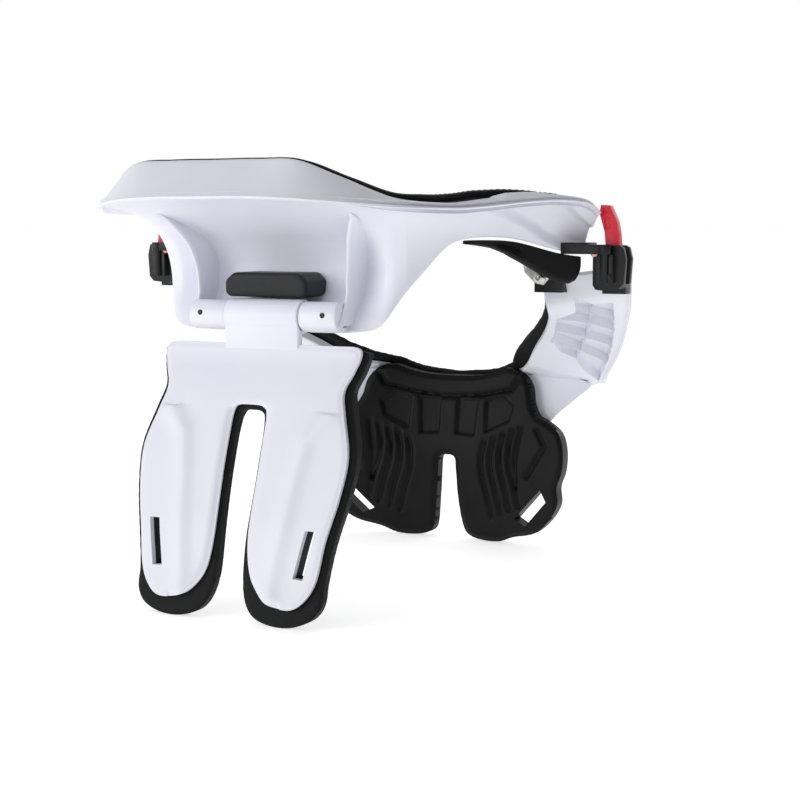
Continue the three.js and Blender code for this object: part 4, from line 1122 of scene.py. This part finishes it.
@dataclass
class BackStrut:
    """The folding strut: a white two-legged plate on black foam."""

    brace: Brace
    half: float = 60.4
    top: float = 134.0
    reach: float = 46.5
    wall: float = 3.0
    foam: float = 6.0
    tip_drop: float = 4.2
    barrel_half: float = 21.5
    barrel_radius: float = 8.6
    barrel_bevel: float = 0.7
    web_drop: float = 4.0
    plate_across: Steps = (-66.0, 66.0, 132)
    plate_up: Steps = (-2.6, 137.0, 138)
    foam_across: Steps = (-67.0, 67.0, 134)
    foam_up: Steps = (-1.5, 133.0, 134)
    bend_step: float = 0.02
    crease_rise: float = 1.5
    crease_half: float = 5.0
    crease_top: float = 0.76
    inner_top: float = 0.77
    inner_span: Pair = (0.2, 4.2)
    rim_slope: float = 0.55
    rim_span: Pair = (0.2, 2.2)
    back_roll: float = 0.5
    back_roll_width: float = 1.6
    foam_roll: float = 2.4
    foam_roll_span: Pair = (-1.2, 2.6)
    cut_span: Pair = (-90.0, 60.0)
    bend: tuple[Pair, ...] = (
        (-0.02, 1.03), (0.03, 1.0), (0.14, 0.9), (0.33, 0.8), (0.6, 0.56), (0.84, 0.32), (0.985, 0.13),
        (1.02, 0.11),
    )
    outline: tuple[Pair, ...] = (
        (0.0, 1.0), (0.4, 1.0), (0.74, 1.0), (0.86, 1.0), (0.93, 0.99), (0.945, 0.96), (0.905, 0.9),
        (0.852, 0.83), (0.9, 0.74), (0.985, 0.6), (0.96, 0.45), (0.885, 0.29), (0.835, 0.15),
        (0.75, 0.075), (0.62, 0.038), (0.4, 0.054), (0.27, 0.105), (0.2, 0.17), (0.165, 0.28),
        (0.165, 0.42), (0.17, 0.54), (0.168, 0.66), (0.16, 0.74), (0.12, 0.768), (0.0, 0.772),
    )
    foam_outline: tuple[Pair, ...] = (
        (0.0, 0.95), (0.2, 0.95), (0.35, 0.953), (0.4, 0.982), (0.7, 0.984), (0.9, 0.984), (0.985, 0.975),
        (0.99, 0.95), (0.962, 0.9), (0.914, 0.83), (0.962, 0.745), (1.045, 0.6), (1.02, 0.45),
        (0.945, 0.285), (0.898, 0.145), (0.888, 0.06), (0.8, 0.002), (0.62, -0.03), (0.42, -0.03),
        (0.25, 0.0), (0.15, 0.075), (0.12, 0.2), (0.13, 0.42), (0.134, 0.6), (0.125, 0.715), (0.09, 0.745),
        (0.0, 0.75),
    )
    slot: tuple[Pair, ...] = ((0.8, 0.33), (0.705, 0.33), (0.632, 0.153), (0.725, 0.15))
    crease: tuple[Pair, ...] = (
        (0.76, 0.742), (0.595, 0.655), (0.54, 0.51), (0.493, 0.33), (0.43, 0.12), (0.43, 0.058),
    )

    def build(self) -> None:
        """Builds the plate and its foam."""
        self._plate()
        self._foam()

    def _placed(self, rows: Sequence[Pair]) -> list[Pair]:
        """An outline in millimetres."""
        return [(x * self.half, self.tip_drop + z * (self.top - self.tip_drop)) for x, z in rows]

    def _face(self, x: float, z: float) -> Vector:
        """The plate's rear face."""
        back = smooth_value(self.bend, z / self.top, self.bend_step)
        return Vector((x, self.brace.rear.hinge_y - back * self.reach, z))

    def _trim(self, piece: bpy.types.Object, outline: Sequence[Pair]) -> None:
        """Trims a layer to its outline and cuts its strap slots."""
        span = tuple(self.brace.rear.hinge_y + y for y in self.cut_span)
        trimmed(piece, outline, span, self._placed(self.slot))

    def _plate(self) -> None:
        """The plate, its strap slots and the hinge barrel."""
        outline = fluent(mirrored_outline(self._placed(self.outline)), 6)
        crease = self._placed(self.crease)

        def rise(x: np.ndarray, z: np.ndarray) -> np.ndarray:
            """The crease of each leg and the slopes at the rims."""
            rim = polyline_distance(x, z, closed(outline))
            ridge = polyline_distance(np.abs(x), z, crease)
            inner = (np.abs(x) < crease[2][0]) & (z < self.top * self.inner_top)
            slope = inner * (1 - ramps(*self.inner_span, rim))
            slope = slope + self.rim_slope * (1 - ramps(*self.rim_span, rim))
            below = z < self.top * self.crease_top
            return self.crease_rise * np.exp(-((ridge / self.crease_half) ** 2)) * below - slope

        def thickness(x: np.ndarray, z: np.ndarray) -> np.ndarray:
            """The wall, less the rear edge's roll."""
            rim = polyline_distance(x, z, closed(outline))
            return self.wall - self.back_roll * fade(self.back_roll_width, rim)

        sheet = Sheet(spread(*self.plate_across), spread(*self.plate_up), self._face, rise, thickness)
        plate = sheet.mesh().piece("StrutPlate", self.brace.finishes.white)
        self._trim(plate, outline)
        grafted(plate, self._barrel())
        self.brace.settle(plate, Body.STRUT, Slot.WHITE, "strut_plate")

    def _barrel(self) -> Mesh:
        """The hinge barrel with the web down to the plate."""
        mesh = Mesh()
        y, z, half = self.brace.rear.hinge_y, self.brace.hinge_z, self.barrel_half
        mesh.rod((-half, y, z), (half, y, z), self.barrel_radius, 64)
        web = y - self.barrel_radius * 0.8
        mesh.block((-half, web, self.top - self.web_drop), (half, web + self.wall * 1.6, z))
        mesh.rounded(self.barrel_bevel, 3, 50.0)
        return mesh

    def _foam(self) -> None:
        """The foam behind the plate, with rolled edges."""
        outline = fluent(mirrored_outline(self._placed(self.foam_outline)), 6)
        near = self.wall + CLEARANCE

        def roll(x: np.ndarray, z: np.ndarray) -> np.ndarray:
            """How far the foam's faces are rolled in near its outline."""
            rim = polyline_distance(x, z, closed(outline))
            return self.foam_roll * (1 - ramps(*self.foam_roll_span, rim))

        sheet = Sheet(
            spread(*self.foam_across), spread(*self.foam_up), self._face,
            lambda x, z: -near - 0.6 * roll(x, z),
            lambda x, z: near + self.foam - 0.7 * roll(x, z),
        )
        foam = sheet.mesh().piece("StrutFoam", self.brace.finishes.foam)
        self._trim(foam, outline)
        shade(foam, 60.0)
        self.brace.settle(foam, Body.STRUT, Slot.FOAM, "strut_pad", fill=1.0)


@dataclass
class ChestPad:
    """The moulded chest pad with its panels, grooves and strap loops."""

    brace: Brace
    half: float = 84.0
    height: float = 108.5
    forward: float = 129.0
    wrap: float = 17.0
    thick: float = 9.0
    across: Steps = (-86.0, 86.0, 190)
    up: Steps = (-2.0, 110.0, 130)
    cut_span: Pair = (60.0, 190.0)
    bend_step: float = 0.025
    edge_roll: float = 3.0
    edge_span: Pair = (-1.6, 3.6)
    lip_groove_half: float = 1.3
    panel_slope: float = 1.3
    groove_half: float = 1.35
    leaf_half: float = 1.4
    press: float = 1.9
    lip_press: float = 2.2
    swell: float = 1.2
    swell_half: float = 22.0
    swell_place: Pair = (0.5, 0.3)
    bend: tuple[Pair, ...] = (
        (-0.03, 0.985), (0.0, 0.983), (0.2, 0.955), (0.48, 0.945), (0.75, 0.97), (0.9, 1.0), (1.03, 1.0),
    )
    outline: tuple[Pair, ...] = (
        (0.0, 0.935), (0.2, 0.94), (0.36, 0.965), (0.46, 0.99), (0.57, 0.97), (0.655, 0.9), (0.685, 0.81),
        (0.74, 0.74), (0.82, 0.715), (0.94, 0.66), (0.99, 0.56), (0.985, 0.45), (0.94, 0.36),
        (0.945, 0.27), (0.87, 0.175), (0.73, 0.085), (0.54, 0.045), (0.42, 0.01), (0.28, 0.005),
        (0.17, 0.025), (0.118, 0.08), (0.086, 0.25), (0.072, 0.4), (0.064, 0.465), (0.035, 0.484),
        (0.0, 0.485),
    )
    loop: tuple[Pair, ...] = ((0.8, 0.34), (0.85, 0.275), (0.66, 0.12), (0.57, 0.155))
    lip_groove: tuple[Pair, ...] = (
        (0.56, 0.93), (0.511, 0.875), (0.266, 0.835), (0.07, 0.82), (0.0, 0.82),
    )
    panels: tuple[tuple[Pair, ...], ...] = (
        ((0.546, 0.785), (0.511, 0.695), (0.301, 0.615), (0.296, 0.815), (0.44, 0.84)),
        ((0.245, 0.815), (0.224, 0.597), (0.06, 0.603), (0.062, 0.812)),
    )
    base_groove: tuple[Pair, ...] = (
        (0.31, 0.575), (0.285, 0.5), (0.285, 0.42), (0.3, 0.36), (0.335, 0.28), (0.375, 0.15),
    )
    grooves: int = 4
    step: float = 0.078
    groove_lift: float = 0.025
    leaf: tuple[tuple[Pair, ...], ...] = (
        ((0.61, 0.665), (0.574, 0.5), (0.588, 0.335)),
        ((0.749, 0.665), (0.826, 0.58), (0.68, 0.4)),
    )

    def build(self) -> None:
        """Builds the pad."""
        outline = fluent(mirrored_outline(self.placed(self.outline)), 5)

        def roll(x: np.ndarray, z: np.ndarray) -> np.ndarray:
            """How far the pad's faces are rolled in near its outline."""
            rim = polyline_distance(x, z, closed(outline))
            return self.edge_roll * (1 - ramps(*self.edge_span, rim))

        sheet = Sheet(
            spread(*self.across), spread(*self.up), self.face,
            lambda x, z: self._relief(np.abs(x), z) - 0.75 * roll(x, z),
            lambda x, z: self.thick - 0.6 * roll(x, z),
        )
        pad = sheet.mesh().piece("ChestPad", self.brace.finishes.skin, 70.0)
        trimmed(pad, outline, self.cut_span, self.placed(self.loop))
        shade(pad, 70.0)
        self.brace.settle(pad, Body.FRONT, Slot.FOAM, "chest_pad", fill=1.0)

    def face(self, x: float, z: float) -> Vector:
        """The pad's neck face."""
        forward = smooth_value(self.bend, z / self.height, self.bend_step) * self.forward
        return Vector((x, forward - self.wrap * (x / self.half) ** 2 + self.brace.shift, z))

    def placed(self, rows: Sequence[Pair]) -> list[Pair]:
        """Points in millimetres."""
        return [(x * self.half, z * self.height) for x, z in rows]

    def _groove(self, x: np.ndarray, z: np.ndarray, line: Sequence[Pair], half: float) -> np.ndarray:
        """A groove of full depth 1 along a line of shares."""
        return np.exp(-((polyline_distance(x, z, self.placed(line)) / half) ** 2))

    def _relief(self, x: np.ndarray, z: np.ndarray) -> np.ndarray:
        """The pressed pattern on the neck face."""
        depth = self.lip_press * self._groove(x, z, self.lip_groove, self.lip_groove_half)
        for panel in self.panels:
            outline = self.placed(panel)
            slope = ramps(0.0, self.panel_slope, polyline_distance(x, z, closed(outline)))
            depth = depth + self.press * np.where(enclosed(x, z, outline), slope, 0.0)
        for k in range(self.grooves):
            line = [(gx + k * self.step, gz + k * self.groove_lift) for gx, gz in self.base_groove]
            depth = depth + self.press * self._groove(x, z, line, self.groove_half)
        for line in self.leaf:
            depth = depth + self.press * self._groove(x, z, line, self.leaf_half)
        at_x, at_z = self.placed([self.swell_place])[0]
        away = ((x - at_x) / self.swell_half) ** 2 + ((z - at_z) / self.swell_half) ** 2
        return self.swell * np.exp(-away) - depth


@dataclass
class FrontShell:
    """The white arms with their pockets, the front lip and the plate behind the chest pad."""

    brace: Brace
    wall: float = 3.0
    floor: float = 2.6
    border: float = 2.4
    columns: int = 72
    plate_across: Steps = (-100.0, 100.0, 100)
    plate_up: Steps = (14.0, 108.0, 50)
    pocket_span: tuple[Pair, Pair] = ((0.3, 0.9), (4.55, 5.1))
    pocket_slope: float = 1.4
    rib_span: Pair = (0.3, 0.85)
    flange_share: float = 0.975
    flange_half: float = 0.022
    flange_end: Pair = (4.4, 5.2)
    rim_roll: float = 0.7
    rim_share: float = 0.02
    back_roll: float = 0.5
    back_share: float = 0.03
    outer_border: tuple[Pair, ...] = (
        (0.675, 0.338), (1.05, 0.525), (1.125, 0.775), (1.925, 0.812), (2.325, 0.838), (2.875, 0.863),
        (3.525, 0.9), (4.575, 0.913), (3.65, 0.525), (3.525, 0.3), (3.075, 0.125), (2.55, 0.113),
        (1.775, 0.1), (1.35, 0.338),
    )
    cross_ribs: tuple[tuple[Pair, Pair], ...] = (
        ((1.35, 0.338), (1.925, 0.812)), ((1.775, 0.1), (2.325, 0.838)),
        ((2.55, 0.113), (2.875, 0.863)), ((3.075, 0.125), (3.525, 0.9)),
    )
    long_rib: tuple[Pair, Pair] = ((1.05, 0.525), (3.6, 0.525))
    place_scale: float = 25.0
    share_scale: float = 45.0
    plate: tuple[Pair, ...] = (
        (0.0, 0.9), (0.3, 0.91), (0.55, 0.94), (0.75, 0.965), (1.14, 0.935), (1.0, 0.83), (0.82, 0.71),
        (0.72, 0.55), (0.54, 0.3), (0.36, 0.175), (0.22, 0.185), (0.17, 0.42), (0.0, 0.52),
    )

    def build(self) -> None:
        """Builds the shell."""
        sheet = Sheet(
            self._places(), spread(0.0, 1.0, self.columns), self.brace.front.face, self._rise,
            self._thickness,
        )
        shell = sheet.mesh().piece("FrontShell", self.brace.finishes.white, 45.0)
        grafted(shell, self._plate())
        self.brace.settle(shell, Body.FRONT, Slot.WHITE, "front_shell")

    def _thickness(self, place: np.ndarray, share: np.ndarray) -> np.ndarray:
        """The wall, less the roll of its upper edges."""
        return self.wall - self.back_roll * fade(self.back_share, np.minimum(share, 1 - share))

    def _places(self) -> list[float]:
        """The rows of the arms, closer together over the pockets."""
        last = self.brace.front.last
        right = [*spread(0.0, 0.6, 10), *spread(0.6, 4.8, 240)[1:], *spread(4.8, last, 60)[1:]]
        return [*right, *[2 * last - place for place in reversed(right[:-1])]]

    def _rise(self, place: np.ndarray, share: np.ndarray) -> np.ndarray:
        """The pocket's floor, its ribs and the rolled rims."""
        side = np.minimum(place, 2 * self.brace.front.last - place)
        x, z = side * self.place_scale, share * self.share_scale
        outline = self._placed(self.outer_border)
        within = enclosed(x, z, outline)
        edge = polyline_distance(x, z, closed(outline))
        floor = self.floor * within * ramps(0.0, self.pocket_slope, edge)
        ribs = np.where(within, 0.0, self.border * band(*self.pocket_span, side))
        for ends in (*self.cross_ribs, self.long_rib):
            near = 1 - ramps(*self.rib_span, polyline_distance(x, z, self._placed(ends)))
            ribs = np.maximum(ribs, (self.floor + self.border) * near * within)
        flange = np.exp(-(((share - self.flange_share) / self.flange_half) ** 2))
        flange = flange * (1 - ramps(*self.flange_end, side))
        roll = self.rim_roll * fade(self.rim_share, np.minimum(share, 1 - share))
        return ribs + flange - floor - roll

    def _placed(self, rows: Sequence[Pair]) -> list[Pair]:
        """Places and shares scaled to about a millimetre."""
        return [(p * self.place_scale, s * self.share_scale) for p, s in rows]

    def _plate(self) -> Mesh:
        """The plate behind the chest pad."""
        pad = ChestPad(self.brace)
        back = Vector((0.0, pad.thick + CLEARANCE, 0.0))
        sheet = Sheet(
            spread(*self.plate_across), spread(*self.plate_up), lambda x, z: pad.face(x, z) + back,
            lambda x, z: 0.0, lambda x, z: self.wall,
        )
        plate = sheet.mesh().piece("plate", self.brace.finishes.white)
        trimmed(plate, fluent(mirrored_outline(pad.placed(self.plate)), 5), pad.cut_span)
        mesh = in_millimetres(plate.data)
        bpy.data.objects.remove(plate)
        return mesh


@dataclass
class FoamBlocks:
    """The front collar pad, the pads under the shoulders and the hinge stop."""

    brace: Brace
    collar_cell: float = 1.2
    stop_cell: float = 0.5
    side_thick: float = 8.6
    side_drop: float = 1.3
    side_grid: tuple[int, int] = (90, 60)
    edge_roll: float = 3.2
    end_width: float = 0.22
    edge_share: float = 0.2
    grip_places: tuple[Pair, Pair] = ((8.2, 8.4), (9.1, 9.3))
    grip_start: Pair = (0.35, 0.42)
    grip_rise: float = 0.3
    grip_rate: float = 60.0
    side_rows: tuple[Pair, ...] = (
        (7.3, 0.02), (7.8, 0.035), (8.3, 0.05), (8.8, 0.08), (9.2, 0.115), (9.6, 0.155), (10.0, 0.18),
        (10.4, 0.18), (10.65, 0.155), (10.8, 0.11), (10.9, 0.04),
    )

    def build(self) -> None:
        """Builds the front collar pad, the side pads and the hinge stop."""
        nodes, finishes = self.brace.nodes, self.brace.finishes
        collar = from_node(nodes["front_collar_pad"]).piece("FrontCollarPad", finishes.foam)
        swollen(collar, self.collar_cell, 8)
        self.brace.settle(collar, Body.FRONT, Slot.FOAM, "front_collar_pad", fill=1.0)
        for side in Side:
            self._side_pad(side)
        stop = from_node(nodes["hinge_stop"]).piece("HingeStop", finishes.rubber)
        swollen(stop, self.stop_cell, 30)
        self.brace.settle(stop, Body.REAR, Slot.RUBBER, "hinge_stop")

    def _side_pad(self, side: Side) -> None:
        """Builds the pad under one shoulder, with a ribbed grip at its lower edge."""
        surface = self.brace.rear
        first, last = self.side_rows[0][0], self.side_rows[-1][0]

        def face(place: float, share: float) -> Vector:
            """The pad's outer face, hung from the wall's lower edge."""
            top = surface.foot.at(side.value * place)
            height = row_value(self.side_rows, place) * surface.height
            return Vector((top.x, top.y, top.z - self.side_drop - share * height))

        def rise(place: np.ndarray, share: np.ndarray) -> np.ndarray:
            """The grip's ribs and the rolled borders."""
            grip = band(*self.grip_places, place) * ramps(*self.grip_start, share)
            return self.grip_rise * grip * np.sin(share * self.grip_rate) - self._edge(place, share)

        rows, columns = self.side_grid
        sheet = Sheet(
            spread(first, last, rows), spread(0.0, 1.0, columns), face, rise,
            lambda place, share: self.side_thick - self._edge(place, share), flip=side is Side.RIGHT,
        )
        pad = sheet.mesh().piece(f"SidePad{side.label}", self.brace.finishes.foam, 70.0)
        self.brace.settle(pad, Body.REAR, Slot.FOAM, f"side_pad_{side.suffix}", fill=1.0)

    def _edge(self, place: np.ndarray, share: np.ndarray) -> np.ndarray:
        """How far a side pad's faces are rolled in near its borders."""
        first, last = self.side_rows[0][0], self.side_rows[-1][0]
        ends = np.minimum(place - first, last - place) / self.end_width
        near = np.clip(np.minimum(ends, (1 - share) / self.edge_share), 0.0, 1.0)
        return self.edge_roll * (1 - np.sqrt(np.maximum(1 - (1 - near) ** 2, 0.0)))


@dataclass
class Latches:
    """The latches of both sides and the hardware at the arms' inner ends."""

    brace: Brace
    bevel: float = 0.45
    bracket_bevel: float = 0.25
    screw_bevel: float = 0.2
    lever_bevel: float = 0.6
    tab_x: float = 139.6
    tab_drop: float = 8.6
    tab_low: Triple = (-1.7, -1.0, -4.2)
    tab_high: Triple = (1.7, 0.9, 2.6)
    tab_bevel: float = 0.5
    rivet: Triple = (135.3, 179.0, 2.1)
    pin: Triple = (143.2, 166.1, 2.0)
    head_low: float = 0.5
    head_deep: float = 1.0
    head_bevel: float = 0.3

    def build(self) -> None:
        """Builds each side's latch and hardware."""
        finishes = self.brace.finishes
        hard = (
            ("latch_frame", "LatchFrame", Body.FRONT, Slot.BLACK, finishes.black, self.bevel),
            ("latch_base", "LatchBase", Body.REAR, Slot.BLACK, finishes.black, self.bevel),
            ("arm_block", "ArmBlock", Body.FRONT, Slot.BLACK, finishes.black, self.bevel),
            ("arm_bracket", "ArmBracket", Body.FRONT, Slot.STEEL, finishes.plate, self.bracket_bevel),
            ("bracket_screw", "BracketScrew", Body.FRONT, Slot.STEEL, finishes.steel, self.screw_bevel),
        )
        for side in Side:
            for stem, name, body, slot, material, bevel in hard:
                node = f"{stem}_{side.suffix}"
                mesh = from_node(self.brace.nodes[node])
                mesh.rounded(bevel, 2, 30.0)
                self.brace.settle(mesh.piece(f"{name}{side.label}", material), body, slot, node)
            self._lever(side, Body.LEVER_RIGHT if side is Side.RIGHT else Body.LEVER_LEFT)
            self._head(side, "FrameRivet", self.rivet, finishes.rivet, Slot.STEEL)
            self._head(side, "FramePin", self.pin, finishes.black, Slot.BLACK)

    def _lever(self, side: Side, body: Body) -> None:
        """Builds a red lever with the recess on its tab."""
        node = f"latch_lever_{side.suffix}"
        mesh = from_node(self.brace.nodes[node])
        mesh.rounded(self.lever_bevel, 3, 30.0)
        lever = mesh.piece(f"LatchLever{side.label}", self.brace.finishes.red)
        low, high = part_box(node)
        middle = Vector((side.value * self.tab_x, low[1] / MM, high[2] / MM - self.tab_drop))
        tab = Mesh()
        tab.block(middle + Vector(self.tab_low), middle + Vector(self.tab_high))
        tab.rounded(self.tab_bevel, 2, 30.0)
        cut(lever, tab)
        self.brace.settle(lever, body, Slot.RED, node)

    def _head(
        self, side: Side, name: str, place: Triple, material: bpy.types.Material, slot: Slot,
    ) -> None:
        """Builds a round head on the rear face of a latch frame.

        Args:
            side: the side of the brace.
            name: the piece's name, without its side.
            place: the head's x and z on the right side, and its radius.
            material: its finish.
            slot: its material slot.
        """
        low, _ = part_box(f"latch_frame_{side.suffix}")
        face = low[1] / MM
        x, z, radius = place
        x *= side.value
        mesh = Mesh()
        mesh.rod((x, face - self.head_low, z), (x, face + self.head_deep, z), radius, 32)
        mesh.rounded(self.head_bevel, 3, 40.0)
        self.brace.settle(mesh.piece(f"{name}{side.label}", material), Body.FRONT, slot)


@dataclass(frozen=True)
class Lamp:
    """A square soft lamp: its place and side in metres and its power in watts."""

    name: str
    place: Triple
    side: float
    power: float


@dataclass
class Studio:
    """The pale studio: floor, soft lamps, sky and camera."""

    camera_place: Triple = (0.4577, -0.8199, 0.193)
    forward: Triple = (-0.4609, 0.8816, -0.1016)
    right: Triple = (0.8862, 0.4633, 0.0)
    lens: float = 76.68
    sensor: float = 36.0
    floor_half: float = 60000.0
    floor_depth: float = 20.0
    floor_drop: float = 0.2
    floor_colour: tuple[float, ...] = (0.86, 0.86, 0.865, 1.0)
    floor_glow: float = 0.62
    zenith: float = 0.42
    zenith_span: Pair = (0.12, 0.6)
    shade_side: float = 0.2
    shade_span: Pair = (0.05, 0.8)
    lamp_aim: Triple = (0.0, 0.0, 0.12)
    lamps: tuple[Lamp, ...] = (
        Lamp("KeyLamp", (-1.2, -1.7, 0.4), 1.4, 15.0),
        Lamp("FillLamp", (1.8, -0.6, 0.9), 1.4, 0.5),
        Lamp("TopLamp", (-0.3, 0.5, 2.2), 1.6, 9.0),
        Lamp("RimLamp", (0.6, 1.9, 1.0), 1.2, 4.0),
    )

    def build(self) -> None:
        """Sets the stage."""
        self._floor()
        self._sky()
        for lamp in self.lamps:
            self._lamp(lamp)
        self._camera()
        bpy.context.scene.view_settings.view_transform = "Standard"

    def _floor(self) -> None:
        """A wide pale floor."""
        material = Graph(bpy.data.materials.new("studio_floor")).finish({
            "Base Color": self.floor_colour, "Roughness": 0.6, "Specular IOR Level": 0.1,
            "Emission Color": (1.0, 1.0, 1.0, 1.0), "Emission Strength": self.floor_glow,
        })
        half, top = self.floor_half, -self.floor_drop
        mesh = Mesh()
        mesh.block((-half, -half, -self.floor_depth), (half, half, top))
        mesh.piece("StudioFloor", material)

    def _sky(self) -> None:
        """A sky that lights less from above and from the wearer's right, and looks evenly white."""
        world = bpy.data.worlds.new("studio_sky")
        graph = Graph(world)
        way = graph.node("ShaderNodeTexCoord", None, None, "Generated")
        height = graph.node("ShaderNodeSeparateXYZ", None, {0: way}, "Z")
        aside = graph.node("ShaderNodeSeparateXYZ", None, {0: way}, "X")
        glow = graph.eased(height, self.zenith_span, (1.0, self.zenith))
        glow *= graph.eased(aside, self.shade_span, (1.0, self.shade_side))
        seen = graph.node("ShaderNodeLightPath", None, None, "Is Camera Ray")
        sky = graph.node("ShaderNodeMath", {"operation": "MAXIMUM"}, {0: glow, 1: seen})
        background = graph.node("ShaderNodeBackground", None, {"Color": sky})
        graph.node("ShaderNodeOutputWorld", None, {"Surface": background})
        bpy.context.scene.world = world

    def _lamp(self, lamp: Lamp) -> None:
        """One lamp, turned to the brace."""
        data = bpy.data.lights.new(lamp.name, "AREA")
        data.size = lamp.side
        data.energy = lamp.power
        made = bpy.data.objects.new(lamp.name, data)
        made.location = lamp.place
        aim = Vector(self.lamp_aim) - Vector(lamp.place)
        made.rotation_euler = aim.to_track_quat("-Z", "Y").to_euler()
        bpy.context.scene.collection.objects.link(made)

    def _camera(self) -> None:
        """The camera, at the angle of the photograph."""
        data = bpy.data.cameras.new("Camera")
        data.lens = self.lens
        data.sensor_width = self.sensor
        camera = bpy.data.objects.new("Camera", data)
        forward, right = Vector(self.forward).normalized(), Vector(self.right).normalized()
        up = right.cross(forward)
        turn = Matrix((right, up, -forward)).transposed().to_4x4()
        camera.matrix_world = Matrix.Translation(Vector(self.camera_place)) @ turn
        bpy.context.scene.collection.objects.link(camera)
        bpy.context.scene.camera = camera


def main() -> None:
    """Builds the brace round its frame, piece by piece."""
    logging.basicConfig(level=logging.INFO, format="%(message)s")
    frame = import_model()
    low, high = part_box("hinge_pin")
    shift = (low[1] + high[1]) / 2 / MM - RearSurface(0.0).hinge_y
    brace = Brace(frame["nodes"], Finishes(), shift, RearSurface(shift), FrontSurface(shift))
    for part in (RearShell, RearPadding, BackStrut, ChestPad, FrontShell, FoamBlocks, Latches):
        part(brace).build()
    Studio().build()


if __name__ == "__main__":
    main()
